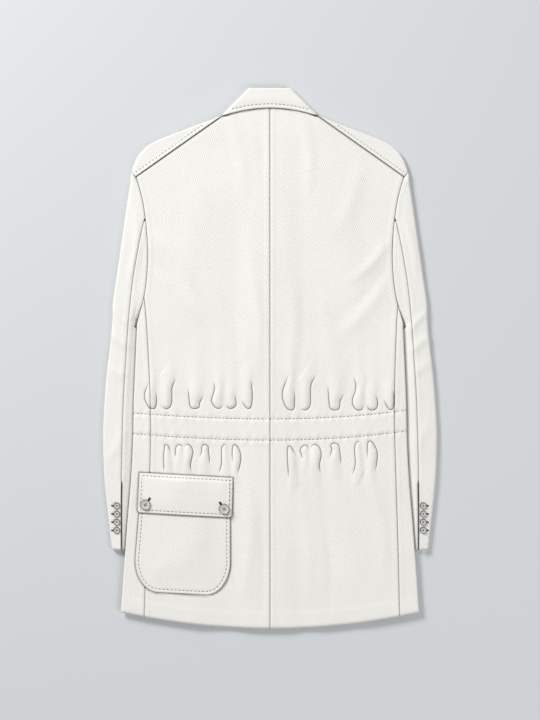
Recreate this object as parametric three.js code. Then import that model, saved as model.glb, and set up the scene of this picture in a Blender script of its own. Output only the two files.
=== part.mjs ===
import * as THREE from "three";

// A safari jacket laid flat, back up, with its sleeves tucked behind its sides.
// Millimetres. The surface it lies on is z = 0, +Y points to the collar and +X to the wearer's right.
// "down" is the distance below the fold of the collar, "half" the distance from the centre back.

// Driving sizes
const jacketLength = 892; // fold of the collar to the lowest point of the hem
const seamGap = 0.3; // pieces that are sewn together stand this far apart
const sideSeamGap = 0.57; // and this far at the side-back seams, where the gathers slope
const layGap = 0.4; // pieces that lie on each other stand this far apart
const thick = {
  back: 2.2,
  front: 1.8,
  side: 1.8,
  yoke: 1.8,
  sleeve: 1.6,
  fall: 1.8,
  stand: 1.6,
  pocket: 1.8,
};
const cottonWhite = 0xe9e5da;
const buttonGrey = 0x8d8a84;

// Outlines, each a row for a distance down the jacket
const bodyEdge = [
  { down: 360, half: 218 },
  { down: 383, half: 219 },
  { down: 449, half: 222 },
  { down: 515, half: 224.7 },
  { down: 581, half: 226 },
  { down: 647, half: 229.5 },
  { down: 713, half: 235 },
  { down: 779, half: 240 },
  { down: 865, half: 246 },
];
const sideBackSeam = [
  { down: 345, half: 210.4 },
  { down: 366, half: 208.1 },
  { down: 383, half: 206.7 },
  { down: 449, half: 203.5 },
  { down: 515, half: 201.5 },
  { down: 581, half: 201.5 },
  { down: 680, half: 204.5 },
  { down: 779, half: 208 },
  { down: 866, half: 210.5 },
];
// The two side-back seams differ a little: each lies this much further to the wearer's right.
const seamShift = [
  { down: 366, half: 2.5 },
  { down: 449, half: 3.3 },
  { down: 619, half: 4.6 },
  { down: 866, half: 3.2 },
];
const sideFrontSeam = [
  { down: 325, half: 193 },
  { down: 380, half: 180 },
  { down: 450, half: 168 },
  { down: 600, half: 165 },
  { down: 866, half: 172 },
];
const backArmhole = [
  { down: 146, half: 221.5 },
  { down: 158, half: 217.5 },
  { down: 185, half: 210.5 },
  { down: 218, half: 205.5 },
  { down: 251, half: 202.5 },
  { down: 284, half: 202 },
  { down: 317, half: 204 },
  { down: 350, half: 209 },
  { down: 370, half: 214.5 },
  { down: 383, half: 219.5 },
  { down: 393, half: 224 },
];
const frontArmhole = [
  { down: 146, half: 221.5 },
  { down: 160, half: 214 },
  { down: 200, half: 200 },
  { down: 250, half: 191 },
  { down: 300, half: 189.5 },
  { down: 325, half: 193 },
  { down: 360, half: 207 },
  { down: 393, half: 224 },
];
const sleeveOuter = [
  { down: 140, half: 228 },
  { down: 185, half: 235 },
  { down: 251, half: 244.5 },
  { down: 317, half: 254 },
  { down: 355, half: 259.5 },
  { down: 380, half: 260 },
  { down: 416, half: 263 },
  { down: 482, half: 270.5 },
  { down: 548, half: 275 },
  { down: 581, half: 275.8 },
  { down: 647, half: 273.4 },
  { down: 713, half: 266.5 },
  { down: 761, half: 261 },
];
const sleeveBackSeam = [
  { down: 213, half: 206.5 },
  { down: 251, half: 215 },
  { down: 317, half: 226.5 },
  { down: 383, half: 233.5 },
  { down: 449, half: 238 },
  { down: 515, half: 242 },
  { down: 581, half: 244 },
  { down: 680, half: 246 },
  { down: 764, half: 246 },
];
const sleeveInner = [
  { down: 330, half: 262 },
  { down: 365, half: 245 },
  { down: 393, half: 224 },
  { down: 430, half: 198 },
  { down: 470, half: 176 },
  { down: 520, half: 158 },
  { down: 580, half: 148 },
  { down: 660, half: 142 },
  { down: 764, half: 139 },
];
const shoulderOutline = [
  { down: 44.6, half: 79 },
  { down: 53, half: 99 },
  { down: 66, half: 134 },
  { down: 79, half: 167.5 },
  { down: 92, half: 197 },
  { down: 105, half: 212.5 },
  { down: 119, half: 221.5 },
  { down: 131, half: 226 },
  { down: 138, half: 227.8 },
];

// The neck, the yoke seam and the hem
const neck = { half: 75, backDown: 26, sideDown: 45.6, frontHalf: 78, frontDown: 118 };
const yokeSeamStart = { half: 79, down: 45.6 };
const yokeSeamEnd = { half: 221.5, down: 146 };
const hem = { half: 246, sideDown: 865, dip: 27 };
const cuff = { down: 761, slope: 0.12 };
const vent = { from: 640, to: 700, gap: 0.6 }; // the seam of the sleeve opens towards the cuff
const underarmDown = 393;
// Where the side seams meet the armhole. The right one in the back is lower than the left one.
const sideSeamTop = { back: 352, differ: 7, front: 325 };
const sleeveSeamTop = 216; // where the back seam of the sleeve meets the armhole
const frontOverlap = 20; // each front reaches this far past the centre
const buttonStrip = { half: 24, ramp: 24, lift: 2.2 };
const leafLift = { half: 82, down: 134, ramp: 26, lift: 2.3 };

// The waist casing, held by two rows of stitching
const casing = { top: { centre: 546, side: 534 }, bottom: { centre: 581, side: 568 }, side: 226 };
// Gathers above and below the casing: place, height, half width, reach from the casing, and lean
const gathersAbove = [
  { at: -196, high: 3.4, wide: 9, reach: 40, lean: -0.05 },
  { at: -170, high: 3.6, wide: 8, reach: 48, lean: 0.14 },
  { at: -124, high: 4.2, wide: 10, reach: 36, lean: 0.08 },
  { at: -88, high: 4.0, wide: 10, reach: 44, lean: -0.1 },
  { at: -63, high: 3.4, wide: 8, reach: 28, lean: 0.05 },
  { at: -37, high: 4.0, wide: 8, reach: 46, lean: 0.03 },
  { at: 31, high: 4.2, wide: 9, reach: 46, lean: 0.08 },
  { at: 60, high: 3.8, wide: 8, reach: 52, lean: 0.12 },
  { at: 106, high: 4.2, wide: 10, reach: 36, lean: 0.1 },
  { at: 144, high: 4.0, wide: 10, reach: 44, lean: -0.1 },
  { at: 169, high: 3.6, wide: 8, reach: 30, lean: 0.04 },
  { at: 194, high: 3.2, wide: 8, reach: 26, lean: 0 },
];
const gathersBelow = [
  { at: -170, high: 3.6, wide: 8, reach: 42, lean: -0.04 },
  { at: -152, high: 3.0, wide: 7, reach: 24, lean: 0.05 },
  { at: -134, high: 3.6, wide: 8, reach: 42, lean: 0.05 },
  { at: -107, high: 3.8, wide: 9, reach: 32, lean: 0 },
  { at: -76, high: 3.6, wide: 8, reach: 44, lean: -0.12 },
  { at: -56, high: 3.6, wide: 8, reach: 40, lean: 0.08 },
  { at: 35, high: 3.8, wide: 8, reach: 48, lean: -0.02 },
  { at: 56, high: 3.2, wide: 8, reach: 24, lean: 0.04 },
  { at: 78, high: 3.8, wide: 8, reach: 44, lean: 0.06 },
  { at: 109, high: 4.0, wide: 9, reach: 32, lean: 0 },
  { at: 145, high: 3.6, wide: 8, reach: 46, lean: -0.1 },
  { at: 168, high: 3.4, wide: 8, reach: 38, lean: 0.06 },
];

// Heights of the layers above the surface
const level = { middle: 7.8, centre: 9.3, neck: 8.9, side: 9.7, sleeve: 7 };
const tuckedSleeve = 4.2; // height of a sleeve where the body lies on it
const bodyOnSleeve = tuckedSleeve + layGap;
// The body rises over the tucked sleeve in front of its inner edge, the back more gently than the front.
const climb = { clear: 6, front: 26, back: { before: 38, after: 18 } };

// The pocket and its flap, on the wearer's left. Their upper edges are turned and their sides lean with the
// flare of the jacket, both in degrees. taper is how much each side draws in over a millimetre upwards.
const pocket = {
  half: -138.2,
  down: 638.4,
  turn: 3.2,
  lean: 2.3,
  width: 157,
  taper: 0.041,
  length: 196,
  corner: { wide: 39, high: 54.5 },
  mouth: 9,
  bulge: 1.8,
};
const flap = { width: 156.4, taper: 0.014, length: 66.3, corner: { wide: 5, high: 5 } };
const flapButton = { out: 65.1, down: 52.4, radius: 8.5 };
const cuffButton = { half: 252.8, down: 689.2, pitch: 13.5, count: 4, radius: 5.6 };
const frontButton = { down: 170, pitch: 120, count: 4, radius: 9 };
const buttonThick = 2;

// Small helpers

function smooth(from, to, x) {
  const t = Math.min(1, Math.max(0, (x - from) / (to - from)));
  return t * t * (3 - 2 * t);
}

function lerp(a, b, t) {
  return a + (b - a) * t;
}

// One column of a table at a place along another, on a smooth curve through its rows.
function along(rows, at, key = "down", value = "half") {
  let i = 0;
  while (i < rows.length - 2 && rows[i + 1][key] < at) i += 1;
  const slope = (j) => {
    const a = rows[Math.max(j - 1, 0)];
    const b = rows[Math.min(j + 1, rows.length - 1)];
    return (b[value] - a[value]) / (b[key] - a[key]);
  };
  const step = rows[i + 1][key] - rows[i][key];
  const t = Math.min(1, Math.max(0, (at - rows[i][key]) / step));
  const [t2, t3] = [t * t, t * t * t];
  return (
    (2 * t3 - 3 * t2 + 1) * rows[i][value] +
    (t3 - 2 * t2 + t) * step * slope(i) +
    (3 * t2 - 2 * t3) * rows[i + 1][value] +
    (t3 - t2) * step * slope(i + 1)
  );
}

function spread(from, to, count) {
  return Array.from({ length: count }, (_, i) => lerp(from, to, i / (count - 1)));
}

function point(half, down, z) {
  return new THREE.Vector3(half, jacketLength / 2 - down, z);
}

// Heights of the cloth

function casingLine(line, x) {
  return lerp(line.centre, line.side, (x / casing.side) ** 2);
}

function gatherRidges(rows, x, away) {
  let high = 0;
  for (const g of rows) {
    const across = (x - g.at - g.lean * away) / (g.wide + 0.12 * away);
    const lengthwise = (1 - Math.exp(-away / 4)) * Math.exp(-((away / g.reach) ** 2) * 1.6);
    high += g.high * Math.exp(-across * across) * lengthwise;
  }
  return high;
}

function gatherHeight(x, down) {
  const above = casingLine(casing.top, x) - down;
  const below = down - casingLine(casing.bottom, x);
  if (above > 0) return gatherRidges(gathersAbove, x, above);
  if (below > 0) return gatherRidges(gathersBelow, x, below);
  return 0;
}

// Slow waves in the middle of each half, where the cloth isn't held up by what is under it.
function softWaves(x, down) {
  const a = Math.abs(x);
  const free = smooth(26, 60, a) * (1 - smooth(125, 160, a));
  const skirt = smooth(620, 800, down) * Math.cos(x / 17 + 0.8);
  const blades = smooth(470, 380, down) * smooth(90, 200, down) * Math.cos((a * 0.8 - down * 0.45) / 34);
  return free * (0.7 * skirt + 0.8 * blades);
}

// Where the body has climbed onto the tucked sleeve.
function onSleeveFrom(down) {
  return along(sleeveInner, down) - climb.clear;
}

function backHeight(x, down) {
  const a = Math.abs(x);
  const edge = onSleeveFrom(down);
  let z = lerp(level.middle, level.side, smooth(edge - climb.back.before, edge + climb.back.after, a));
  z = lerp(level.centre, z, smooth(18, 60, a));
  z = lerp(level.neck, z, smooth(50, 110, down));
  return z + gatherHeight(x, down) + softWaves(x, down);
}

// Height of the outer face of the front layer, which faces the surface it lies on.
function frontHeight(x, down) {
  const a = Math.abs(x);
  const edge = onSleeveFrom(down);
  const onSleeve = bodyOnSleeve * smooth(edge - climb.front, edge, a);
  const strip = buttonStrip.lift * (1 - smooth(buttonStrip.half, buttonStrip.half + buttonStrip.ramp, a));
  const leaf =
    leafLift.lift *
    (1 - smooth(leafLift.half, leafLift.half + leafLift.ramp, a)) *
    (1 - smooth(leafLift.down, leafLift.down + leafLift.ramp, down));
  return Math.max(onSleeve, strip, leaf);
}

// Height of the upper face of a sleeve, which meets the body at the armhole and slides under it below.
function sleeveHeight(half, down) {
  const edge = down < 388 ? along(backArmhole, down) : along(bodyEdge, down);
  const start = lerp(level.middle, tuckedSleeve, smooth(335, underarmDown - 3, down));
  const rise = 0.3 * (along(sleeveOuter, down) - edge);
  return lerp(start, level.sleeve, smooth(edge + 0.5, edge + 0.5 + rise, half));
}

// Shapes of cloth

// A closed wall of cloth from a grid of outer points, whose normals, column by row, point outwards.
// A place in the grid may be null where the cloth doesn't reach.
function clothWall(rows, wall) {
  const wide = rows[0].length;
  const at = (i, j) => rows[i]?.[j] ?? null;
  const outer = [];
  const inner = [];
  const number = new Map();
  rows.forEach((row, i) => {
    row.forEach((p, j) => {
      if (!p) return;
      const across = (at(i, j + 1) ?? p).clone().sub(at(i, j - 1) ?? p);
      const up = (at(i + 1, j) ?? p).clone().sub(at(i - 1, j) ?? p);
      const normal = across.cross(up).normalize();
      number.set(i * wide + j, outer.length / 3);
      outer.push(...p.toArray());
      inner.push(...p.clone().addScaledVector(normal, -wall).toArray());
    });
  });
  const count = outer.length / 3;
  const faces = [];
  const edges = new Map();
  const quad = (a, b, c, d) => faces.push(a, b, c, a, c, d);
  for (let i = 0; i + 1 < rows.length; i += 1) {
    for (let j = 0; j + 1 < wide; j += 1) {
      const first = i * wide + j;
      const corners = [first, first + 1, first + wide + 1, first + wide].map((n) => number.get(n));
      if (corners.includes(undefined)) continue;
      const [a, b, c, d] = corners;
      quad(a, b, c, d);
      quad(count + a, count + d, count + c, count + b);
      corners.forEach((from, k) => {
        const to = corners[(k + 1) % 4];
        edges.set(`${from} ${to}`, [from, to]);
      });
    }
  }
  // An edge that only one face uses lies on the border, where the two sides are joined.
  for (const [a, b] of edges.values()) {
    if (!edges.has(`${b} ${a}`)) quad(a, count + a, count + b, b);
  }
  const shape = new THREE.BufferGeometry();
  shape.setAttribute("position", new THREE.Float32BufferAttribute([...outer, ...inner], 3));
  shape.setIndex(faces);
  return shape;
}

// A grid made for the wearer's right, turned into the one for the left.
function mirrored(rows) {
  return rows.map((row) => row.map((p) => p && new THREE.Vector3(-p.x, p.y, p.z)).reverse());
}

// Shares of the way from one place to another, with steps that stop at given places between them.
function stopping(from, to, stops) {
  const inside = stops.filter((s) => (s - from) * (s - to) < 0);
  const missing = stops.length - inside.length;
  const places = [from, ...inside, to];
  const shares = places.map((s) => (s - from) / (to - from));
  // Stops that fall outside are made up on the last stretch, so that every row has as many points.
  const last = shares[shares.length - 2];
  return [...shares.slice(0, -1), ...spread(last, 1, missing + 2).slice(1)];
}

// Points across a folded edge: on the upper layer from a to the fold, round it, and on the lower one to b.
// a, fold and b hold half and down; top and bottom give the height of each layer at a place.
// counts holds how many points each stretch has, or, for the layers, the places where it has them.
function foldedRow(a, fold, b, top, bottom, counts) {
  const out = new THREE.Vector2(fold.half - a.half, fold.down - a.down);
  const reach = out.length();
  out.normalize();
  const roundness = (top(fold.half, fold.down) - bottom(fold.half, fold.down)) / 2;
  const inset = Math.min(roundness, 0.9 * reach);
  const turn = { half: fold.half - out.x * inset, down: fold.down - out.y * inset };
  const high = top(turn.half, turn.down);
  const low = bottom(turn.half, turn.down);
  const middle = (high + low) / 2;
  const row = [];
  const shares = (count, from, to) => (count.length ? stopping(from, to, count) : spread(0, 1, count));
  for (const t of shares(counts.top, a.half, turn.half)) {
    const [half, down] = [lerp(a.half, turn.half, t), lerp(a.down, turn.down, t)];
    row.push(point(half, down, top(half, down)));
  }
  for (const angle of spread(0, Math.PI, counts.turn).slice(1, -1)) {
    const [side, up] = [Math.sin(angle) * inset, (Math.cos(angle) * (high - low)) / 2];
    row.push(point(turn.half + out.x * side, turn.down + out.y * side, middle + up));
  }
  for (const t of shares(counts.bottom, turn.half, b.half)) {
    const [half, down] = [lerp(turn.half, b.half, t), lerp(turn.down, b.down, t)];
    row.push(point(half, down, bottom(half, down)));
  }
  return row;
}

// Outlines in plan

function hemDown(x) {
  return hem.sideDown + hem.dip * (1 - (x / hem.half) ** 2);
}

function backNeckDown(x) {
  return lerp(neck.backDown, neck.sideDown, Math.min(1, x / neck.half) ** 2);
}

function yokeSeamDown(half) {
  const share = (half - yokeSeamStart.half) / (yokeSeamEnd.half - yokeSeamStart.half);
  return lerp(yokeSeamStart.down, yokeSeamEnd.down, Math.max(0, share));
}

// The panels of the body

// Upper edge of the back, under the collar and along the yoke.
function backTopDown(half) {
  return half < yokeSeamStart.half ? backNeckDown(half) : yokeSeamDown(half);
}

function sideSeam(down, side) {
  return along(sideBackSeam, down) + side * along(seamShift, down);
}

// The left side-back seam meets the armhole a little higher than the right one.
function sideSeamTopDown(side) {
  return sideSeamTop.back + side * sideSeamTop.differ;
}

function backEdge(down, side) {
  if (down < yokeSeamEnd.down) return yokeSeamEnd.half;
  return down < sideSeamTopDown(side) ? along(backArmhole, down) : sideSeam(down, side);
}

// Rows of a back panel: share of the way from the hem to the lower stitching, steps from the casing, and
// share of the way from the upper gathers to the top.
const skirtShares = [0, 0.14, 0.28, 0.42, 0.56, 0.7];
const gatherSteps = [44, 28, 16, 8, 3];
const upperShares = [0.1, 0.2, 0.3, 0.4, 0.5, 0.6, 0.7, 0.8, 0.9, 1];

function backColumn(share, side) {
  const halfAt = (down) => Math.max(seamGap / 2, share * (backEdge(down, side) - seamGap / 2));
  const top = backTopDown(share * (yokeSeamEnd.half - seamGap)) + seamGap;
  const waist = halfAt(560);
  const low = casingLine(casing.bottom, waist);
  const high = casingLine(casing.top, waist);
  const bottom = hemDown(halfAt(hem.sideDown));
  const start = low + gatherSteps[0] + 12;
  const end = high - gatherSteps[0] - 14;
  const downs = [
    ...skirtShares.map((t) => lerp(bottom, start, t / 0.7)),
    ...gatherSteps.map((step) => low + step),
    low,
    high,
    ...[...gatherSteps].reverse().map((step) => high - step),
    end,
    ...upperShares.map((t) => lerp(end, top, t)),
  ];
  return downs.map((down) => ({ half: halfAt(down), down }));
}

function backPanel(side) {
  const columns = spread(0, 1, 24).map((share) => backColumn(share, side));
  const rows = columns[0].map((_, i) =>
    columns.map((column) => {
      const { half, down } = column[i];
      return point(side * half, down, backHeight(side * half, down));
    }),
  );
  return clothWall(side > 0 ? rows : rows.map((row) => row.reverse()), thick.back);
}

// The side panel folds round the edge of the body from the side-back seam to the side-front seam.
function sidePanel(side) {
  const steps = [...spread(hem.sideDown, 640, 6), 612, 594, 580, 568, 534, 520, 505, ...spread(484, 394, 7)];
  const rows = steps.map((down) => {
    const a = { half: sideSeam(down, side) + sideSeamGap - seamGap / 2, down };
    const fold = { half: along(bodyEdge, down), down };
    const b = { half: along(sideFrontSeam, down) + seamGap / 2, down };
    if (down === hem.sideDown) a.down = b.down = hemDown(a.half);
    return [a, fold, b];
  });
  const top = sideSeamTopDown(side) + 6;
  const middle = (top + 394) / 2;
  rows.push([
    { half: sideSeam(middle, side) + 0.6, down: middle },
    { half: 219.6, down: 391.5 },
    { half: 187, down: 360 },
  ]);
  rows.push([
    { half: sideSeam(top, side) + 0.9, down: top },
    { half: 219.2, down: 388 },
    { half: 194.5, down: 333 },
  ]);
  const grid = rows.map(([a, fold, b]) =>
    foldedRow(
      a,
      fold,
      b,
      (half, down) => backHeight(side * half, down),
      frontHeight,
      { top: 4, turn: 6, bottom: climbStops(fold.down) },
    ),
  );
  return clothWall(side > 0 ? grid : mirrored(grid), thick.side);
}

// Places across the climb onto the tucked sleeve where a panel needs points.
function climbStops(down) {
  const edge = onSleeveFrom(down);
  return [edge, edge - 0.5 * climb.front, edge - climb.front];
}

// Rows of a front: shares of the way up to the collar's leaf, and then of the way on to the top.
const lowShares = [0, 0.13, 0.26, 0.37, 0.45, 0.5, 0.54, 0.58, 0.62, 0.66, 0.7, 0.76, 0.84, 0.92, 1];
const highShares = [0.25, 0.5, 0.75, 1];
const frontShares = [...lowShares.map((t) => ["low", t]), ...highShares.map((t) => ["high", t])];

// A front lies under the back, face down. The left one is outermost, and the right one laps over it.
function frontPanel(side) {
  const stripEnd = buttonStrip.half + buttonStrip.ramp;
  const halves = [-frontOverlap, 0, buttonStrip.half - 2, 34, stripEnd, neck.frontHalf];
  const neckDown = (half) => {
    const round = Math.sqrt(Math.max(0, 1 - (half / neck.frontHalf) ** 2));
    return lerp(neck.sideDown + 3, neck.frontDown, round);
  };
  const edgeAt = (down) => {
    if (down < 160) return 214 - seamGap;
    return along(down < sideSeamTop.front ? frontArmhole : sideFrontSeam, down) - 3 * seamGap;
  };
  const topAt = (half) => (half < 76 ? neckDown(Math.max(0, half)) : yokeSeamDown(half) + 2.5);
  // Past the strip the columns follow the climb onto the sleeve, and stay inside the edge of the panel.
  const outerHalves = (down) => {
    const edge = edgeAt(down);
    const knee = Math.min(onSleeveFrom(down), edge - 10);
    return [knee - climb.front, knee - 0.5 * climb.front, knee, (knee + edge) / 2, edge];
  };
  const columns = spread(0, 10, 11);
  const rows = frontShares.map(([part, t]) =>
    columns.map((k) => {
      const halfAt = (down) => (k < halves.length ? halves[k] : outerHalves(down)[k - halves.length]);
      const bottom = hemDown(halfAt(hem.sideDown)) - 1;
      const top = topAt(halfAt(100));
      const leafEnd = Math.max(leafLift.down, top + 12) + leafLift.ramp;
      const down = part === "low" ? lerp(bottom, leafEnd, t) : lerp(leafEnd, top, t);
      const half = halfAt(down);
      const over = side > 0 ? (thick.front + layGap) * (1 - smooth(22, 44, half)) : 0;
      return point(half, down, frontHeight(half, down) + over);
    }),
  );
  // The outer face looks down, so the columns run the other way.
  const facing = rows.map((row) => row.reverse());
  return clothWall(side > 0 ? facing : mirrored(facing), thick.front);
}

// The shoulder yoke laps the back along the slanting seam and folds over the shoulder to the front.
function shoulderYoke(side) {
  const shares = [0.05, 0.15, 0.3, 0.45, 0.6, 0.74, 0.84, 0.91, 0.96, 1];
  const outlineShare = [0.07, 0.2, 0.39, 0.56, 0.72, 0.84, 0.91, 0.955, 0.98, 1];
  let total = 0;
  const path = shoulderOutline.map((row, i) => {
    const before = shoulderOutline[Math.max(0, i - 1)];
    total += Math.hypot(row.half - before.half, row.down - before.down);
    return { ...row, run: total };
  });
  const grid = shares.map((share, i) => {
    const seam = { half: lerp(yokeSeamStart.half, yokeSeamEnd.half, share) };
    seam.down = yokeSeamDown(seam.half) - seamGap;
    const run = total * outlineShare[i];
    const fold = { half: along(path, run, "run", "half"), down: along(path, run, "run", "down") };
    return foldedRow(
      seam,
      fold,
      { half: seam.half, down: seam.down },
      (half, down) => backHeight(side * half, down),
      frontHeight,
      { top: 3, turn: 6, bottom: 3 },
    );
  });
  // Rows run from the shoulder point to the neck, so that the normals point outwards.
  grid.reverse();
  return clothWall(side > 0 ? grid : mirrored(grid), thick.yoke);
}

// The sleeves, each in two pieces with a seam down the back and one hidden in front

function sleeveBottom() {
  return 0;
}

function cuffDown(half) {
  return cuff.down + cuff.slope * (261 - half);
}

// Rows of a sleeve, from the cuff up.
const sleeveDowns = [...spread(735, 425, 8), 409, 396, 382, 366, 340, 308, 272, 240, 212, 185, 166];

// Where the hidden front seam lies on the under side of the sleeve.
function sleeveFrontSeam(down) {
  if (down < underarmDown) return along(frontArmhole, down) + 2 * seamGap;
  return along(sleeveInner, down) + 6 + 14 * smooth(underarmDown, 460, down);
}

function topSleeve(side) {
  const counts = { top: 5, turn: 5, bottom: 5 };
  const start = (down) => {
    if (down > sleeveSeamTop) return along(sleeveBackSeam, down);
    return along(backArmhole, down) + 2 * seamGap;
  };
  const rows = sleeveDowns.map((down) => [
    { half: start(down) + seamGap / 2, down },
    { half: along(sleeveOuter, down), down },
    { half: sleeveFrontSeam(down) + seamGap, down },
  ]);
  const place = (half) => ({ half, down: cuffDown(half) });
  rows.unshift([place(246 + seamGap / 2), place(261), place(159 + seamGap)]);
  rows.push([
    { half: 221.8, down: 147.4 },
    { half: 228.8, down: 139.4 },
    { half: 221.4, down: 148.2 },
  ]);
  const grid = rows.map(([a, fold, b]) => foldedRow(a, fold, b, sleeveHeight, sleeveBottom, counts));
  return clothWall(side > 0 ? grid : mirrored(grid), thick.sleeve);
}

// The under sleeve shows between its seam and the body, and folds back under itself where the body hides it.
function underSleeve(side) {
  const rows = [];
  for (const down of [null, ...sleeveDowns.filter((d) => d > 220)]) {
    const at = down ?? 764;
    const open = vent.gap * smooth(vent.from, vent.to, at);
    const a = { half: along(sleeveBackSeam, at) - seamGap / 2 - open, down: down ?? cuffDown(246) };
    const edge = along(bodyEdge, at);
    // The upper layer has points where it comes out from under the body and across its rise there.
    const counts = { top: [lerp(a.half, edge, 0.5), edge + 1, edge - 15, 190], turn: 5, bottom: 3 };
    if (at > underarmDown) {
      const fold = { half: along(sleeveInner, at), down: down ?? cuffDown(139) };
      const b = { half: sleeveFrontSeam(at) - seamGap, down: down ?? cuffDown(159) };
      rows.push(foldedRow(a, fold, b, sleeveHeight, sleeveBottom, counts));
    } else {
      // Above the underarm only the upper layer is left, up to the armhole.
      const end = along(backArmhole, at) + 2 * seamGap;
      const upper = spread(a.half, end, counts.top.length + 2);
      const hidden = Array(counts.turn - 2 + counts.bottom).fill(null);
      rows.push([...upper.map((half) => point(half, at, sleeveHeight(half, at))), ...hidden]);
    }
  }
  const facing = rows.map((row) => row.reverse());
  return clothWall(side > 0 ? facing : mirrored(facing), thick.sleeve);
}

// The collar, a flattened cone that is open in front

const fall = {
  foldHalf: 38,
  edgeDown: 33,
  sideHalf: 79,
  sideDown: 44.6,
  top: 11.8,
  roll: 2.7,
  leafFold: { half: 7, down: 72 },
  leafPoint: { half: 60, down: 128 },
};
const stand = { top: 8.9, bottom: 2.3, foldDown: 5.5, foldHalf: 33, sideHalf: 73, sideDown: 41.6 };

// A ring of the collar for the wearer's right, from the centre back round the side to the front.
// place gives the centre back, the side and the front end of the ring, and its upper and lower height.
function collarRing({ back, side, front, top, bottom }, counts) {
  const radius = (top - bottom) / 2;
  const turnHalf = side.half - radius;
  const row = [];
  for (const t of spread(0, 1, counts.back)) {
    row.push(point(turnHalf * t, lerp(back.down, side.down, t * t), top));
  }
  for (const angle of spread(0, Math.PI, counts.turn).slice(1, -1)) {
    const z = (top + bottom) / 2 + Math.cos(angle) * radius;
    row.push(point(turnHalf + Math.sin(angle) * radius, side.down, z));
  }
  for (const t of spread(0, 1, counts.front)) {
    row.push(point(lerp(turnHalf, front.half, t), lerp(side.down, front.down, t), bottom));
  }
  return row;
}

function bothSides(rings) {
  return rings.map((row) => {
    const other = row.slice(1).map((p) => new THREE.Vector3(-p.x, p.y, p.z));
    return [...other.reverse(), ...row];
  });
}

function collarFall() {
  const counts = { back: 6, turn: 7, front: 5 };
  const sheet = spread(1, 0, 5).map((t) =>
    collarRing(
      {
        back: { down: lerp(fall.roll, fall.edgeDown, t) },
        side: { half: lerp(fall.foldHalf, fall.sideHalf, t), down: lerp(fall.roll, fall.sideDown, t) },
        front: {
          half: lerp(fall.leafFold.half, fall.leafPoint.half, t),
          down: lerp(fall.leafFold.down, fall.leafPoint.down, t),
        },
        top: fall.top,
        bottom: 0,
      },
      counts,
    ),
  );
  // The cloth rolls over at the fold, round an arc that ends inside.
  const roll = spread(0, Math.PI * 0.85, 4)
    .slice(1)
    .map((angle) => {
      const deep = fall.roll * (1 - Math.cos(angle));
      const over = fall.roll * Math.sin(angle);
      return collarRing(
        {
          back: { down: fall.roll - over },
          side: { half: fall.foldHalf - deep * 0.9 - over * 0.3, down: fall.roll - over * 0.95 },
          front: { half: fall.leafFold.half, down: fall.leafFold.down - over },
          top: fall.top - deep,
          bottom: deep * 0.55,
        },
        counts,
      );
    });
  return clothWall(bothSides([...sheet, ...roll]), thick.fall);
}

function collarStand() {
  const counts = { back: 6, turn: 7, front: 5 };
  const rings = spread(0, 1, 4).map((t) =>
    collarRing(
      {
        back: { down: lerp(neck.backDown - seamGap, stand.foldDown, t) },
        side: {
          half: lerp(stand.sideHalf, stand.foldHalf, t),
          down: lerp(stand.sideDown, stand.foldDown + 1, t),
        },
        front: { half: 8, down: lerp(neck.frontDown - 3, fall.leafFold.down + 6, t) },
        top: stand.top - 0.1 * t,
        bottom: stand.bottom + 0.3 * t,
      },
      counts,
    ),
  );
  return clothWall(bothSides(rings), thick.stand);
}

// The pocket and its flap

// A place on the pocket, across and down from the middle of its upper edge.
function onPocket(across, below) {
  const turn = THREE.MathUtils.degToRad(pocket.turn);
  const lean = THREE.MathUtils.degToRad(pocket.lean);
  return {
    half: pocket.half + across * Math.cos(turn) - below * Math.sin(lean),
    down: pocket.down + across * Math.sin(turn) + below * Math.cos(lean),
  };
}

// Half the width of a patch at a distance below its top. Its lower corners are quarters of an ellipse.
function patchHalf(shape, below) {
  const fromCorner = below - (shape.length - shape.corner.high);
  const into = Math.max(0, fromCorner) / shape.corner.high;
  const round = shape.corner.wide * (1 - Math.sqrt(Math.max(0, 1 - into * into)));
  return shape.width / 2 + shape.taper * Math.min(0, fromCorner) - round;
}

function bagHeight(across, below) {
  const puff = (1 - (2 * across / pocket.width) ** 2) * smooth(0, 60, pocket.length - below);
  const { half, down } = onPocket(across, below);
  return backHeight(half, down) + layGap + thick.pocket + pocket.bulge * Math.max(0, puff);
}

function patch(shape, belows, height) {
  const rows = belows.map((below) =>
    spread(-1, 1, 13).map((share) => {
      const across = share * patchHalf(shape, below);
      const { half, down } = onPocket(across, below);
      return point(half, down, height(across, below));
    }),
  );
  return clothWall(rows.reverse(), thick.pocket);
}

function pocketBag() {
  const straight = spread(pocket.mouth, pocket.length - pocket.corner.high, 9);
  const round = [0.3, 0.55, 0.75, 0.9, 0.98].map((t) => pocket.length - pocket.corner.high * (1 - t));
  return patch(pocket, [...straight, ...round], bagHeight);
}

function flapHeight(across, below) {
  const { half, down } = onPocket(across, below);
  const onBack = backHeight(half, down) + layGap + thick.pocket;
  const onBag = bagHeight(across, Math.max(below, pocket.mouth)) + layGap + thick.pocket;
  return lerp(onBack, onBag, smooth(0, pocket.mouth - 2, below));
}

function pocketFlap() {
  const corner = flap.length - flap.corner.high;
  const belows = [0, 3, 6, 9, 16, 26, 36, 46, 56, corner, corner + 3.4, corner + 4.9];
  return patch(flap, belows, flapHeight);
}

// Buttons: a dished disc with a round rim

function buttonShape(radius) {
  const profile = [
    [0, 0],
    [radius - 0.7, 0],
    [radius, 0.8],
    [radius - 0.8, buttonThick],
    [radius - 2.2, buttonThick - 0.4],
    [0, buttonThick - 0.4],
  ].map(([r, z]) => new THREE.Vector2(r, z));
  return new THREE.LatheGeometry(profile, 12).rotateX(Math.PI / 2);
}

// The jacket, piece by piece

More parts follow.
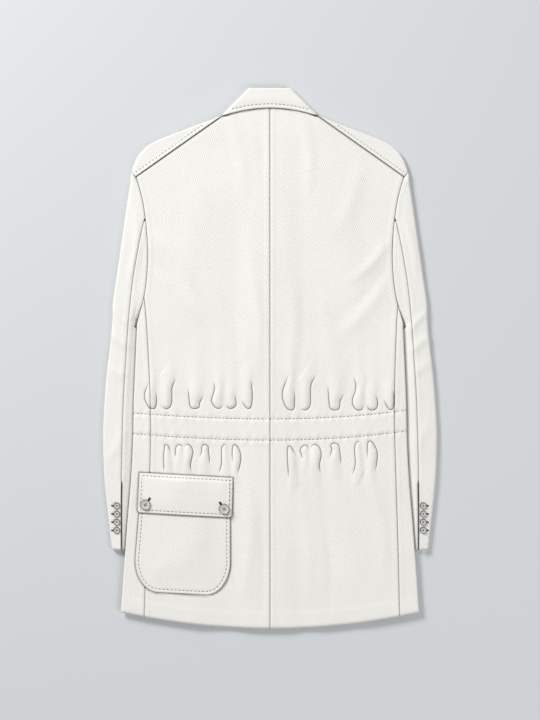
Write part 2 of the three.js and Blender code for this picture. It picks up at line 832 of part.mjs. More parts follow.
const jacket = new THREE.Group();
const cloth = { color: cottonWhite, roughness: 0.9, metalness: 0 };
const horn = { color: buttonGrey, roughness: 0.4, metalness: 0 };

function sew(name, shape, finish = cloth) {
  shape.computeVertexNormals();
  const piece = new THREE.Mesh(shape, new THREE.MeshStandardMaterial(finish));
  piece.name = name;
  jacket.add(piece);
  return piece;
}

function sewButton(name, radius, half, down, z) {
  sew(name, buttonShape(radius), horn).position.copy(point(half, down, z));
}

for (const [hand, side] of [
  ["left", -1],
  ["right", 1],
]) {
  sew(`back_${hand}`, backPanel(side));
  sew(`side_${hand}`, sidePanel(side));
  sew(`front_${hand}`, frontPanel(side));
  sew(`yoke_${hand}`, shoulderYoke(side));
  sew(`top_sleeve_${hand}`, topSleeve(side));
  sew(`under_sleeve_${hand}`, underSleeve(side));
  for (let i = 0; i < cuffButton.count; i += 1) {
    const down = cuffButton.down + i * cuffButton.pitch;
    const z = level.sleeve + layGap;
    sewButton(`cuff_button_${hand}_${i + 1}`, cuffButton.radius, side * cuffButton.half, down, z);
  }
  const { half, down } = onPocket(side * flapButton.out, flapButton.down);
  const onFlap = flapHeight(side * flapButton.out, flapButton.down);
  sewButton(`flap_button_${side < 0 ? "outer" : "inner"}`, flapButton.radius, half, down, onFlap + layGap);
}
sew("collar_fall", collarFall());
sew("collar_stand", collarStand());
sew("pocket_bag", pocketBag());
sew("pocket_flap", pocketFlap());
for (let i = 0; i < frontButton.count; i += 1) {
  sewButton(`front_button_${i + 1}`, frontButton.radius, 0, frontButton.down + i * frontButton.pitch, 0);
}

export default jacket;
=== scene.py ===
import math

import bpy
import numpy as np
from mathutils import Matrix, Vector


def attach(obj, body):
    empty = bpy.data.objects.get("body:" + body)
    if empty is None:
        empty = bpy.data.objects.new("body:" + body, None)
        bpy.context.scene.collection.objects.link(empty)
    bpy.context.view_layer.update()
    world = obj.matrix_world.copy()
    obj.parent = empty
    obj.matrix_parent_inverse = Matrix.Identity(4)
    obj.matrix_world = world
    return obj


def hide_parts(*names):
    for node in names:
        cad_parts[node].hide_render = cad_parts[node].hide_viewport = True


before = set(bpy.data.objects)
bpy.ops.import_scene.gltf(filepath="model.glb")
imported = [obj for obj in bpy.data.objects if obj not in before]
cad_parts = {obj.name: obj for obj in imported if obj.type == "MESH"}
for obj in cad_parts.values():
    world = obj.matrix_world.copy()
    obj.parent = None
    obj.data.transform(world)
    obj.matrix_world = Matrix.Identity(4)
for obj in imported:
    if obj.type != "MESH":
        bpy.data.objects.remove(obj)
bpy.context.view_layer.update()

mm = 0.001
scene = bpy.context.scene
jacket = {"length": 892.0, "wall": 1.0, "underarm": 393.0}


def addObject(name, data):
    thing = bpy.data.objects.new(name, data)
    scene.collection.objects.link(thing)
    return thing


# Camera, straight above, with a frame of 540 by 720 pixels
view = {"mmPerPixel": 1.65, "height": 720, "centreDown": 448.8, "clothTop": 8.0, "lens": 120.0,
        "sensor": 36.0}
cameraData = bpy.data.cameras.new("overheadCamera")
cameraData.lens = view["lens"]
cameraData.sensor_width = view["sensor"]
camera = addObject("overheadCamera", cameraData)
cameraAway = view["mmPerPixel"] * view["height"] * mm * view["lens"] / view["sensor"]
camera.location = (0, (jacket["length"] / 2 - view["centreDown"]) * mm, cameraAway + view["clothTop"] * mm)
scene.camera = camera


# From 0 at start to 1 at end, level at both
def smooth(start, end, x):
    t = np.clip((np.asarray(x, float) - start) / (end - start), 0, 1)
    return t * t * (3 - 2 * t)


def lerp(a, b, t):
    return a + (b - a) * t


# A rounded hill of height 1 where x is 0
def hill(x, width):
    return np.exp(-((x / width) ** 2))


# The half of a table of (down, half) rows at any distance down, on a smooth curve through the rows
def along(rows, at):
    x, y = np.array(rows, float).T
    slope = np.empty(len(x))
    slope[1:-1] = (y[2:] - y[:-2]) / (x[2:] - x[:-2])
    slope[0] = (y[1] - y[0]) / (x[1] - x[0])
    slope[-1] = (y[-1] - y[-2]) / (x[-1] - x[-2])
    i = np.clip(np.searchsorted(x, at) - 1, 0, len(x) - 2)
    step = x[i + 1] - x[i]
    t = np.clip((at - x[i]) / step, 0, 1)
    t2, t3 = t * t, t * t * t
    return (
        (2 * t3 - 3 * t2 + 1) * y[i]
        + (t3 - 2 * t2 + t) * step * slope[i]
        + (3 * t2 - 2 * t3) * y[i + 1]
        + (t3 - t2) * step * slope[i + 1]
    )


# Distances from start to end, closer together near the ends, where seams are
def seamSpaced(start, end, count, ends=0.5):
    t = np.linspace(0, 1, count)
    t = lerp(t, (1 - np.cos(math.pi * t)) / 2, ends)
    return lerp(start, end, t)


def toPoints(half, down, z):
    half, down, z = np.broadcast_arrays(half, down, z)
    return np.stack([half, jacket["length"] / 2 - down, z], axis=-1)


def downOf(grid):
    return jacket["length"] / 2 - grid[..., 1]


# The jacket's outlines, in rows of (down, half)
bodyEdge = [
    (360, 218), (383, 219), (449, 222), (515, 224.7), (581, 226), (647, 229.5), (713, 235), (779, 240),
    (865, 246),
]
sideBackSeam = [
    (345, 210.4), (366, 208.1), (383, 206.7), (449, 203.5), (515, 201.5), (581, 201.5), (680, 204.5),
    (779, 208), (866, 210.5),
]
# The two side-back seams differ a little: each lies this much further to the wearer's right
seamShift = [(366, 2.5), (449, 3.3), (619, 4.6), (866, 3.2)]
sideSeamTops = {"middle": 352, "differ": 7}
sideFrontSeam = [(325, 193), (380, 180), (450, 168), (600, 165), (866, 172)]
backArmhole = [
    (146, 221.5), (158, 217.5), (185, 210.5), (218, 205.5), (251, 202.5), (284, 202), (317, 204),
    (350, 209), (370, 214.5), (383, 219.5), (393, 224),
]
frontArmhole = [
    (146, 221.5), (160, 214), (200, 200), (250, 191), (300, 189.5), (325, 193), (360, 207), (393, 224),
]
sleeveOuter = [
    (140, 228), (185, 235), (251, 244.5), (317, 254), (355, 259.5), (380, 260), (416, 263), (482, 270.5),
    (548, 275), (581, 275.8), (647, 273.4), (713, 266.5), (761, 261),
]
sleeveBackSeam = [
    (213, 206.5), (251, 215), (317, 226.5), (383, 233.5), (449, 238), (515, 242), (581, 244), (680, 246),
    (764, 246),
]
sleeveInner = [
    (330, 262), (365, 245), (393, 224), (430, 198), (470, 176), (520, 158), (580, 148), (660, 142),
    (764, 139),
]
shoulderOutline = [
    (44.6, 79), (53, 99), (66, 134), (79, 167.5), (92, 197), (105, 212.5), (119, 221.5), (131, 226),
    (138, 227.8),
]
neck = {"half": 75, "backDown": 26, "sideDown": 45.6, "frontDown": 118}
yokeSeam = {"start": (79, 45.6), "end": (221.5, 146), "square": 0.82}  # square turns down into across it
hem = {"sideDown": 865, "sideHalf": 246, "dip": 27, "turnUp": 28, "thicker": 0.5, "line": 2.0,
       "lineDip": 0.35, "roll": 1.0, "rollWide": 1.5}
cuff = {"down": 761, "half": 261, "slope": 0.12}
vent = {"start": 645, "end": 655, "drop": 2.2}

# Heights of the layers above the surface that the jacket lies on
level = {"middle": 7.8, "centre": 9.3, "neck": 8.9, "side": 9.7, "sleeve": 7.0, "tucked": 4.2,
         "onSleeve": 4.6}
levelEnds = {"centre": (18, 60), "neck": (50, 110)}
climb = {"clear": 6, "front": 26, "before": 38, "after": 18}
buttonStrip = {"half": 24, "ramp": 24, "lift": 2.2}
leafLift = {"half": 82, "down": 134, "ramp": 26, "lift": 2.3}
wrinkle = {"high": 0.7, "across": 19, "along": 61}
sleeveShape = {"rise": 0.3, "crown": 1.1, "crownAt": 0.55, "crownWide": 0.5, "armholeEnd": 388}
seamShape = {"dip": 0.7, "wide": 1.4, "allowance": 9.0, "ridge": 0.4}

# The casing at the waist, where the back is drawn in
casing = {"top": (546, 534), "bottom": (581, 568), "side": 226, "tilt": 2.4, "band": 0.5, "dip": 0.7,
          "dipWide": 2.0, "edge": 6, "pucker": 0.45, "puckerWide": 8}

# The gathers above and below it. Each is a puff of cloth inside a crease that bends round its end, given by
# the crease's own points as (from the centre back, down), uneven as hand-pulled gathers are.
gather = {"puff": 2.6, "crease": 1.5, "wide": 1.7, "step": 1.6, "spread": 0.12, "beyond": 46, "flute": 1.3,
          "fluteWide": 10.0, "fluteReach": 95.0, "shadeReach": 2.6, "margin": 8, "soft": 2.4}
gathersAbove = [
    [(-201, 488), (-206, 501), (-207, 509), (-205, 518), (-200, 526.5), (-195, 529), (-190.5, 529),
     (-188, 524), (-187, 513), (-188, 503)],
    [(-177.5, 524), (-174, 528.5), (-168.5, 529), (-164.5, 525.5), (-162, 518), (-162, 506),
     (-161.5, 495), (-159, 487.5), (-156, 480.5)],
    [(-135, 497), (-133.5, 512), (-132, 524), (-129.5, 528), (-123.5, 529), (-117.5, 527), (-116, 519.5),
     (-112.5, 512.5), (-110.5, 508)],
    [(-93, 486), (-91.5, 493.5), (-93.5, 504.5), (-96.5, 515), (-94.5, 522), (-90, 527), (-83.5, 529),
     (-78.5, 525)],
    [(-71.5, 523.5), (-68.5, 528), (-64.5, 529), (-59.5, 527), (-56, 522.5), (-56.5, 515), (-57.5, 509)],
    [(-46, 517.5), (-42, 524), (-36.5, 529), (-32, 527.5), (-29.5, 516.5), (-29, 504.5), (-30, 493.5),
     (-30, 484.5)],
    [(29, 477), (25, 487.5), (21.5, 498), (20.5, 509), (23, 519.5), (28.5, 529), (36, 531.5),
     (39.5, 529), (40.5, 516.5), (40.5, 507), (40, 500)],
    [(52, 530), (57.5, 531.5), (62.5, 529.5), (66, 524), (67, 512), (67, 496.5), (69, 486), (75, 476)],
    [(95.5, 493), (96.5, 507.5), (98, 522.5), (100, 529), (106, 531.5), (113, 530), (115, 524),
     (115.5, 518), (118.5, 511), (121.5, 506.5)],
    [(139, 478.5), (141.5, 490.5), (140, 501.5), (136, 513.5), (136.5, 522.5), (140.5, 529),
     (146.5, 532), (152.5, 529.5), (154.5, 525)],
    [(161, 524), (162.5, 529.5), (169, 531.5), (175, 529), (177.5, 522.5), (177, 515), (175.5, 509)],
    [(188.5, 516), (191.5, 522.5), (197, 530), (202, 530), (204, 522.5), (204.5, 512), (204, 500)],
]
gathersBelow = [
    [(-175, 632.5), (-175.5, 617.5), (-175.5, 605), (-174, 594.5), (-173.5, 589), (-170.5, 588.5),
     (-167, 591.5), (-164, 601.5)],
    [(-156, 608), (-156, 599), (-154.5, 591.5), (-150, 588.5), (-145.5, 590), (-143.5, 592)],
    [(-141, 591.5), (-138, 588.5), (-133.5, 588.5), (-129.5, 593), (-127, 600.5), (-128.5, 608),
     (-131, 620.5), (-131, 626.5), (-130, 632.5)],
    [(-116, 609), (-113, 600.5), (-112.5, 593), (-109.5, 588.5), (-106, 588.5), (-102, 592),
     (-101.5, 600.5), (-100, 609.5), (-100, 619.5)],
    [(-84, 635), (-82, 628), (-80, 620.5), (-80, 609.5), (-80, 597.5), (-78.5, 591.5), (-75.5, 588.5),
     (-70, 589.5)],
    [(-61.5, 616), (-62.5, 603.5), (-61.5, 593), (-59.5, 588.5), (-54.5, 590.5), (-50, 599),
     (-48, 609.5), (-50, 623.5), (-53, 635)],
    [(30.5, 641), (29.5, 625), (28.5, 608), (29, 596), (30, 591.5), (33.5, 591), (37.5, 596.5),
     (43, 606)],
    [(53, 611), (52, 605), (50, 599.5), (51, 594.5), (54.5, 590.5), (59, 589), (62.5, 591.5),
     (63.5, 595)],
    [(68, 593), (70.5, 589), (75, 588.5), (80.5, 591.5), (83.5, 597.5), (84.5, 605), (82.5, 616),
     (81.5, 623.5), (82.5, 631), (84, 635.5)],
    [(98, 609.5), (101, 600.5), (102, 595), (100, 591.5), (101.5, 587.5), (107, 586), (112.5, 588.5),
     (114.5, 594.5), (116, 606.5), (117.5, 620.5)],
    [(136.5, 637), (140, 625), (140.5, 614), (139.5, 602), (140, 590), (143, 584.5), (146.5, 583),
     (149.5, 585)],
    [(161, 609.5), (160.5, 599), (161, 587), (163.5, 582.5), (168, 583.5), (172.5, 590), (176.5, 599),
     (177, 609.5), (175.5, 622), (174, 631)],
]


def casingLine(line, x):
    share = x / casing["side"]
    return lerp(line[0], line[1], share**2) - casing["tilt"] * share**3


# A crease as a fine path, with the open outline of its puff, which runs on past both of its ends
def gatherPath(points, away):
    points = np.array(points, float)
    run = np.concatenate([[0], np.cumsum(np.linalg.norm(np.diff(points, axis=0), axis=1))])
    fine = np.linspace(0, run[-1], int(run[-1] / gather["step"]) + 2)
    path = np.stack([along(list(zip(run, points[:, k])), fine) for k in range(2)], axis=1)
    leftFirst = path[0, 0] < path[-1, 0]
    reach = gather["beyond"]
    tails = []
    for end, left in ((path[0], leftFirst), (path[-1], not leftFirst)):
        tails.append(end + np.array([(-1 if left else 1) * gather["spread"] * reach, away * reach]))
    return path, np.concatenate([[tails[0]], path, [tails[1]]])


# Distances from places to the segments of a path, with the share of the way along it
def nearest(places, path):
    a, b = path[:-1], path[1:]
    step = b - a
    t = np.clip(((places[:, None] - a) * step).sum(-1) / (step**2).sum(-1), 0, 1)
    away = np.linalg.norm(places[:, None] - a - t[..., None] * step, axis=-1)
    k = away.argmin(axis=1)
    pick = np.arange(len(places))
    return away[pick, k], (k + t[pick, k]) / len(a)


def inside(places, outline):
    a, b = outline, np.roll(outline, -1, axis=0)
    px, py = places[:, 0, None], places[:, 1, None]
    straddles = (a[:, 1] > py) != (b[:, 1] > py)
    rise = np.where(a[:, 1] == b[:, 1], 1, b[:, 1] - a[:, 1])
    crossing = a[:, 0] + (py - a[:, 1]) * (b[:, 0] - a[:, 0]) / rise
    return (straddles & (px < crossing)).sum(axis=1) % 2 == 1


# The relief of the gathers at places on the back, with the distance to the nearest crease, negative outside
# its puff, and how much of the crease's painted shade is there
def gatherRelief(x, down):
    x, down = np.broadcast_arrays(np.asarray(x, float), np.asarray(down, float))
    high, creaseShade = np.zeros(x.shape), np.zeros(x.shape)
    toLine = np.full(x.shape, 9.0)
    for rows, away in ((gathersAbove, -1), (gathersBelow, 1)):
        for points in rows:
            path, outline = gatherPath(points, away)
            end = path[:, 1].max() if away < 0 else path[:, 1].min()
            length = np.abs(path[:, 1] - end).max()
            high += gatherFlute(x, down, path, end, length, away)
            low, top = outline.min(axis=0) - gather["margin"], outline.max(axis=0) + gather["margin"]
            near = (x > low[0]) & (x < top[0]) & (down > low[1]) & (down < top[1])
            if not near.any():
                continue
            places = np.stack([x[near], down[near]], axis=1)
            toCrease, share = nearest(places, path)
            toSide, _ = nearest(places, outline)
            within = inside(places, outline)
            fromEnd = (places[:, 1] - end) * away
            half = 0.46 * (path[:, 0].max() - path[:, 0].min())
            fade = hill(np.maximum(fromEnd, 0), 0.9 * length + 16)
            fade = fade * (1 - smooth(length + 8, length + gather["beyond"] - 4, fromEnd))
            puff = gather["puff"] * smooth(-gather["soft"], half, np.where(within, toSide, -toSide)) * fade
            brush = smooth(-0.06, 0.15, share) * (1 - smooth(0.85, 1.06, share))
            crease = lerp(0.15, 1, brush) * hill(toCrease, gather["wide"])
            high[near] += puff - gather["crease"] * crease
            closer = toCrease < np.abs(toLine[near])
            toLine[near] = np.where(closer, np.where(within, toCrease, -toCrease), toLine[near])
            # How much painted shade darkens the cloth along the nearest crease
            creaseShade[near] = np.where(closer, brush * (toCrease < gather["shadeReach"]), creaseShade[near])
    return high, toLine, creaseShade


# The soft fold that runs on from a gather, along the middle of its crease
def gatherFlute(x, down, path, end, length, away):
    fromEnd = (down - end) * away
    closed = path[np.argmin(np.abs(path[:, 1] - end)), 0]
    lean = (0.5 * (path[0, 0] + path[-1, 0]) - closed) / length * 0.5
    off = x - closed - lean * np.clip(fromEnd, 0, 60)
    reach = smooth(4, 30, fromEnd) * hill(fromEnd, gather["fluteReach"])
    return gather["flute"] * hill(off, gather["fluteWide"]) * reach


# The casing stands up a little between its two stitch lines, which pull into the cloth and pucker it
def casingRelief(x, down):
    top, bottom = casingLine(casing["top"], x), casingLine(casing["bottom"], x)
    band = smooth(top, top + casing["edge"], down) * (1 - smooth(bottom - casing["edge"], bottom, down))
    pucker = np.cos(x / 2.3 + 1.3 * np.sin(x / 17)) + 0.8 * np.cos(x / 4.1 + 2 * np.sin(x / 29))
    stitch = hill(down - top, casing["dipWide"]) + hill(down - bottom, casing["dipWide"])
    nearStitch = hill(down - top, casing["puckerWide"]) + hill(down - bottom, casing["puckerWide"])
    return band * casing["band"] + pucker * nearStitch * casing["pucker"] - stitch * casing["dip"]


def gathers(x, down):
    return gatherRelief(x, down)[0] + casingRelief(x, down)


# Low waves of the loose cloth, upright in the skirt and slanting over the shoulder blades
softWave = {"skirt": 1.3, "skirtLength": 17, "blades": 1.2, "bladesLength": 34}


def softWaves(x, down):
    a = np.abs(x)
    free = smooth(26, 60, a) * (1 - smooth(125, 160, a))
    skirt = smooth(620, 800, down) * np.cos(x / softWave["skirtLength"] + 0.8)
    blades = smooth(470, 380, down) * smooth(90, 200, down)
    blades = blades * np.cos((a * 0.8 - down * 0.45) / softWave["bladesLength"])
    return free * (softWave["skirt"] * skirt + softWave["blades"] * blades)


# Creases placed one by one: where each starts and ends as (from the centre back, down), its height and its
# width
handCreases = [
    ((-198, 236), (-122, 334), 2.1, 10),
    ((-200, 276), (-126, 372), -1.1, 9),
    ((-194, 300), (-112, 404), 1.8, 11),
    ((197, 250), (128, 322), 2.2, 9),
    ((196, 290), (120, 376), -1.0, 9),
    ((192, 316), (104, 418), 1.7, 12),
    ((-158, 112), (-98, 214), 1.4, 14),
    ((150, 122), (108, 240), 1.5, 13),
    ((-66, 52), (-46, 196), 1.3, 11),
    ((54, 50), (62, 182), 1.4, 10),
    ((-22, 60), (-14, 150), -0.7, 9),
    ((-34, 290), (-24, 476), 1.4, 10),
    ((36, 320), (26, 486), 1.3, 11),
    ((-74, 330), (-58, 470), -0.8, 12),
    ((84, 340), (92, 470), 1.0, 12),
    ((-38, 640), (-54, 862), 2.0, 12),
    ((42, 646), (58, 856), 2.1, 13),
    ((110, 652), (130, 870), 1.8, 14),
    ((164, 634), (184, 826), 1.5, 11),
    ((86, 690), (92, 884), -1.4, 9),
    ((-18, 700), (-22, 884), -1.0, 8),
    ((228, 406), (264, 366), 1.8, 6),
    ((232, 438), (268, 408), 2.0, 7),
    ((236, 474), (270, 452), 1.4, 8),
    ((-228, 396), (-262, 352), 1.7, 6),
    ((-232, 430), (-267, 396), 2.0, 7),
    ((-236, 476), (-271, 458), 1.5, 8),
    ((-240, 560), (-272, 620), 1.3, 9),
    ((244, 600), (270, 540), 1.1, 9),
    ((-220, 200), (-238, 330), 1.4, 6),
    ((222, 214), (240, 322), 1.3, 6),
]


creaseBend = 0.06  # by its length, which keeps a crease from running straight


def creases(x, down):
    high = np.zeros(np.broadcast(x, down).shape)
    for (x0, d0), (x1, d1), height, width in handCreases:
        length = math.hypot(x1 - x0, d1 - d0)
        ux, ud = (x1 - x0) / length, (d1 - d0) / length
        run = ((x - x0) * ux + (down - d0) * ud) / length
        off = (down - d0) * ux - (x - x0) * ud + creaseBend * length * np.sin(run * 3.0)
        fade = smooth(-0.15, 0.3, run) * (1 - smooth(0.55, 1.15, run))
        high = high + height * hill(off, width) * fade
    return high


# A seam: a thin dip where two pieces meet, between the low ridges of their allowances
def seamRelief(distance):
    d = np.abs(distance)
    ridge = smooth(0, 3, d) - smooth(seamShape["allowance"] - 3, seamShape["allowance"] + 1, d)
    return seamShape["ridge"] * ridge - seamShape["dip"] * hill(d, seamShape["wide"])


# Where the body starts to climb onto the sleeve beneath it
def onSleeveFrom(down):
    return along(sleeveInner, down) - climb["clear"]


def baseHeight(x, down):
    a = np.abs(x)
    fromStart = a - onSleeveFrom(down) + climb["before"]
    z = lerp(level["middle"], level["side"], smooth(0, 1, fromStart / (climb["before"] + climb["after"])))
    z = lerp(level["centre"], z, smooth(*levelEnds["centre"], a))
    return lerp(level["neck"], z, smooth(*levelEnds["neck"], down))


def bodyHeight(x, down):
    return baseHeight(x, down) + gathers(x, down) + softWaves(x, down) + creases(x, down)


def frontHeight(x, down):
    a = np.abs(x)
    edge = onSleeveFrom(down)
    onSleeve = level["onSleeve"] * smooth(0, 1, (a - edge + climb["front"]) / climb["front"])
    beside = smooth(buttonStrip["half"], buttonStrip["half"] + buttonStrip["ramp"], a)
    strip = buttonStrip["lift"] * (1 - beside)
    leaf = (
        leafLift["lift"]
        * (1 - smooth(leafLift["half"], leafLift["half"] + leafLift["ramp"], a))
        * (1 - smooth(leafLift["down"], leafLift["down"] + leafLift["ramp"], down))
    )
    wave = 0.5 * (1 + np.cos(a / wrinkle["across"] + down / wrinkle["along"]))
    free = smooth(50, 70, a) * smooth(0, 20, edge - climb["front"] - a)
    return np.maximum(np.maximum(onSleeve, strip), leaf) + wave * free * wrinkle["high"]


# The sleeve's upper face, level at the armhole and rounded over the arm's outer edge
def sleeveHeight(x, down):
    half = np.abs(x)
    edge = np.where(down < sleeveShape["armholeEnd"], along(backArmhole, down), along(bodyEdge, down))
    wide = along(sleeveOuter, down) - edge
    start = lerp(level["middle"], level["tucked"], smooth(335, jacket["underarm"] - 3, down))
    rise = smooth(0, 1, (half - edge - 0.5) / (sleeveShape["rise"] * wide))
    fromCrown = (half - edge - sleeveShape["crownAt"] * wide) / (sleeveShape["crownWide"] * wide)
    crown = sleeveShape["crown"] * np.clip(1 - fromCrown**2, 0, 1)
    return lerp(start, level["sleeve"], rise) + crown + creases(x, down) * smooth(2, 8, half - edge)


def hemDown(x):
    return hem["sideDown"] + hem["dip"] * (1 - (x / hem["sideHalf"]) ** 2)


def cuffDown(half):
    return cuff["down"] + cuff["slope"] * (cuff["half"] - half)


def yokeSeamDown(half):
    (h0, d0), (h1, d1) = yokeSeam["start"], yokeSeam["end"]
    return lerp(d0, d1, np.maximum(0, (half - h0) / (h1 - h0)))


def toYokeSeam(half, down):
    return (yokeSeamDown(half) - down) * yokeSeam["square"]


def backTopDown(half):
    collar = lerp(neck["backDown"], neck["sideDown"], np.minimum(1, half / neck["half"]) ** 2)
    return np.where(half < yokeSeam["start"][0], collar, yokeSeamDown(half))


def sideSeam(down, side):
    return along(sideBackSeam, down) + side * along(seamShift, down)


# Where the side-back seam meets the armhole, lower on the right
def sideSeamTop(side):
    return sideSeamTops["middle"] + sideSeamTops["differ"] * side


def backEdge(down, side):
    edge = np.where(down < sideSeamTop(side), along(backArmhole, down), sideSeam(down, side))
    return np.where(down < yokeSeam["end"][1], yokeSeam["end"][0], edge)


# How many points a row has across the upper layer, round the fold and across the lower layer
rowPoints = {"side": (22, 9, 12), "yoke": (16, 9, 8), "topSleeve": (24, 11, 14), "underSleeve": (44, 9, 8),
             "fall": (34, 13, 18), "stand": (24, 11, 14), "collarLine": (60, 15, 40)}


# Points across a folded edge, from a on the upper layer round the fold to b on the lower one
def foldedRow(side, a, fold, b, top, bottom, counts):
    reach = math.hypot(fold[0] - a[0], fold[1] - a[1])
    outX, outD = (fold[0] - a[0]) / reach, (fold[1] - a[1]) / reach
    roundness = float(top(side * fold[0], fold[1]) - bottom(side * fold[0], fold[1])) / 2
    inset = min(roundness, 0.9 * reach)
    turn = (fold[0] - outX * inset, fold[1] - outD * inset)
    t = seamSpaced(0, 1, counts[0], 0.6)
    half, down = lerp(a[0], turn[0], t), lerp(a[1], turn[1], t)
    upper = toPoints(half, down, top(side * half, down))
    angle = np.linspace(0, math.pi, counts[1])[1:-1]
    high, low = upper[-1][2], float(bottom(side * turn[0], turn[1]))
    out = np.sin(angle) * inset
    middle = (high + low) / 2 + np.cos(angle) * (high - low) / 2
    middle = toPoints(turn[0] + outX * out, turn[1] + outD * out, middle)
    t = np.linspace(0, 1, counts[2])
    half, down = lerp(turn[0], b[0], t), lerp(turn[1], b[1], t)
    lower = toPoints(half, down, bottom(side * half, down))
    return np.concatenate([upper, middle, lower])


# Materials: an sRGB hex value as a linear colour
def linear(hexValue):
    channels = [int(hexValue[i : i + 2], 16) / 255 for i in (1, 3, 5)]
    return (*[c / 12.92 if c <= 0.04045 else ((c + 0.055) / 1.055) ** 2.4 for c in channels], 1.0)


# Adds a node with its settings, and links or sets its inputs
def addNode(tree, kind, inputs=None, **settings):
    node = tree.nodes.new(kind)
    for key, value in settings.items():
        setattr(node, key, value)
    for socket, value in (inputs or {}).items():
        if isinstance(value, bpy.types.NodeSocket):
            tree.links.new(value, node.inputs[socket])
        else:
            node.inputs[socket].default_value = value
    return node


def newMaterial(name):
    material = bpy.data.materials.new(name)
    material.use_nodes = True
    material.node_tree.nodes.clear()
    return material, material.node_tree


def noise(tree, place, scale, detail):
    inputs = {"Vector": place, "Scale": scale, "Detail": detail}
    return addNode(tree, "ShaderNodeTexNoise", inputs).outputs["Fac"]


def pointValue(tree, name):
    return addNode(tree, "ShaderNodeAttribute", attribute_name=name).outputs["Fac"]


def calculate(tree, operation, *values, clamp=False):
    inputs = dict(enumerate(values))
    return addNode(tree, "ShaderNodeMath", inputs, operation=operation, use_clamp=clamp).outputs[0]


def blend(tree, share, first, second):
    return addNode(tree, "ShaderNodeMix", {0: share, 6: first, 7: second}, data_type="RGBA").outputs[2]


def bump(tree, height, strength, deep):
    inputs = {"Height": height, "Strength": strength, "Distance": deep * mm}
    return addNode(tree, "ShaderNodeBump", inputs).outputs[0]


def finishMaterial(tree, inputs):
    shader = addNode(tree, "ShaderNodeBsdfPrincipled", inputs).outputs[0]
    addNode(tree, "ShaderNodeOutputMaterial", {"Surface": shader})


# Cotton drill, a firm steep twill of natural white yarn: matt and faintly ribbed, with painted shade that
# darkens it in its seams, along the creases of the gathers and beside edges that lie on it.
# Real drill has a rib of 0.6 mm. The twill here is coarser, so that it shows from afar.
# seam is the dark colour that the painted shade blends the cloth towards; the crease values give the width
# and strength of the painted shade along a crease
drillLook = {"colour": "#f4f2ec", "yarn": "#e5e2d8", "seam": "#3d3a35", "twill": 3.6, "steepness": 63,
             "slub": 1.1, "slubsPerMetre": 60, "patches": 11.0, "creaseWide": 0.8, "creaseShadeStrength": 0.85,
             "roughness": 0.86}


def cottonDrill(name):
    material, tree = newMaterial(name)
    place = addNode(tree, "ShaderNodeUVMap", uv_map="cloth").outputs[0]
    rotation = (0, 0, math.radians(90 - drillLook["steepness"]))
    steep = addNode(tree, "ShaderNodeMapping", {"Vector": place, "Rotation": rotation}).outputs[0]
    # A wave's period is 0.314 over its scale
    wave = {"Vector": steep, "Scale": 0.314 / (drillLook["twill"] * mm), "Distortion": 1.2, "Detail": 2.0,
            "Detail Scale": 1.5}
    rib = addNode(tree, "ShaderNodeTexWave", wave, bands_direction="X").outputs["Fac"]
    stretch = (1 / (drillLook["slub"] * mm), drillLook["slubsPerMetre"], 1)
    threads = addNode(tree, "ShaderNodeMapping", {"Vector": place, "Scale": stretch}).outputs[0]
    slub = noise(tree, threads, 1.0, 3.0)
    cloudy = calculate(tree, "MULTIPLY", noise(tree, place, drillLook["patches"], 4.0), slub)
    tone = blend(tree, cloudy, linear(drillLook["colour"]), linear(drillLook["yarn"]))
    # The painted shade of a crease falls off with the distance from it
    toLine = pointValue(tree, "creaseDistance")
    square = calculate(tree, "MULTIPLY", toLine, toLine)
    narrow = calculate(tree, "MULTIPLY", square, -1 / drillLook["creaseWide"] ** 2)
    dark = calculate(tree, "MULTIPLY", calculate(tree, "EXPONENT", narrow), drillLook["creaseShadeStrength"])
    line = calculate(tree, "MULTIPLY", dark, pointValue(tree, "paintedCreaseShade"))
    # Painted shade: that of the seams and edges, with that of the creases, blends the cloth towards the seam
    # colour
    shade = calculate(tree, "ADD", pointValue(tree, "paintedShade"), line, clamp=True)
    finishMaterial(tree, {
        "Base Color": blend(tree, shade, tone, linear(drillLook["seam"])),
        "Roughness": drillLook["roughness"],
        "Normal": bump(tree, calculate(tree, "ADD", rib, slub), 0.6, 0.4),
        "Specular IOR Level": 0.25,
        "Sheen Weight": 0.12,
        "Sheen Roughness": 0.5,
    })
    return material


# Corozo, a cut and polished nut: grey, satin, with a faint grain
corozoLook = {"dark": "#bdbab5", "light": "#dddbd6", "rim": "#4a4844", "grain": 420.0, "roughness": 0.38}


def corozo(name):
    material, tree = newMaterial(name)
    place = addNode(tree, "ShaderNodeTexCoord").outputs["Object"]
    grain = noise(tree, place, corozoLook["grain"], 4.0)
    face = blend(tree, grain, linear(corozoLook["dark"]), linear(corozoLook["light"]))
    finishMaterial(tree, {
        "Base Color": blend(tree, pointValue(tree, "rimShade"), face, linear(corozoLook["rim"])),
        "Roughness": corozoLook["roughness"],
        "IOR": 1.53,
        "Normal": bump(tree, grain, 0.1, 0.2),
    })
    return material


# Core-spun polyester thread: a round twisted yarn with a low lustre
def twistedThread(name, dark, light):
    material, tree = newMaterial(name)
    twist = noise(tree, addNode(tree, "ShaderNodeTexCoord").outputs["Object"], 1400.0, 2.0)
    finishMaterial(tree, {
        "Base Color": blend(tree, twist, linear(dark), linear(light)),
        "Roughness": 0.6,
        "Sheen Weight": 0.1,
        "Normal": bump(tree, twist, 0.4, 0.2),
    })
    return material


# Matt paper sweep, a flat pale surface
def palePaper(name):
    material, tree = newMaterial(name)
    finishMaterial(tree, {"Base Color": linear("#d6d8da"), "Roughness": 0.9})
    return material


drill = cottonDrill("cottonDrill")
buttonNut = corozo("greyCorozo")
seamThread = twistedThread("greyThread", "#55534e", "#6f6c66")
buttonholeThread = twistedThread("charcoalThread", "#1f1e1d", "#302f2d")
print("materials made")


def pointAttribute(mesh, name, values):
    attribute = mesh.attributes.new(name, "FLOAT", "POINT")
    attribute.data.foreach_set("value", np.ascontiguousarray(values, dtype=np.float32))
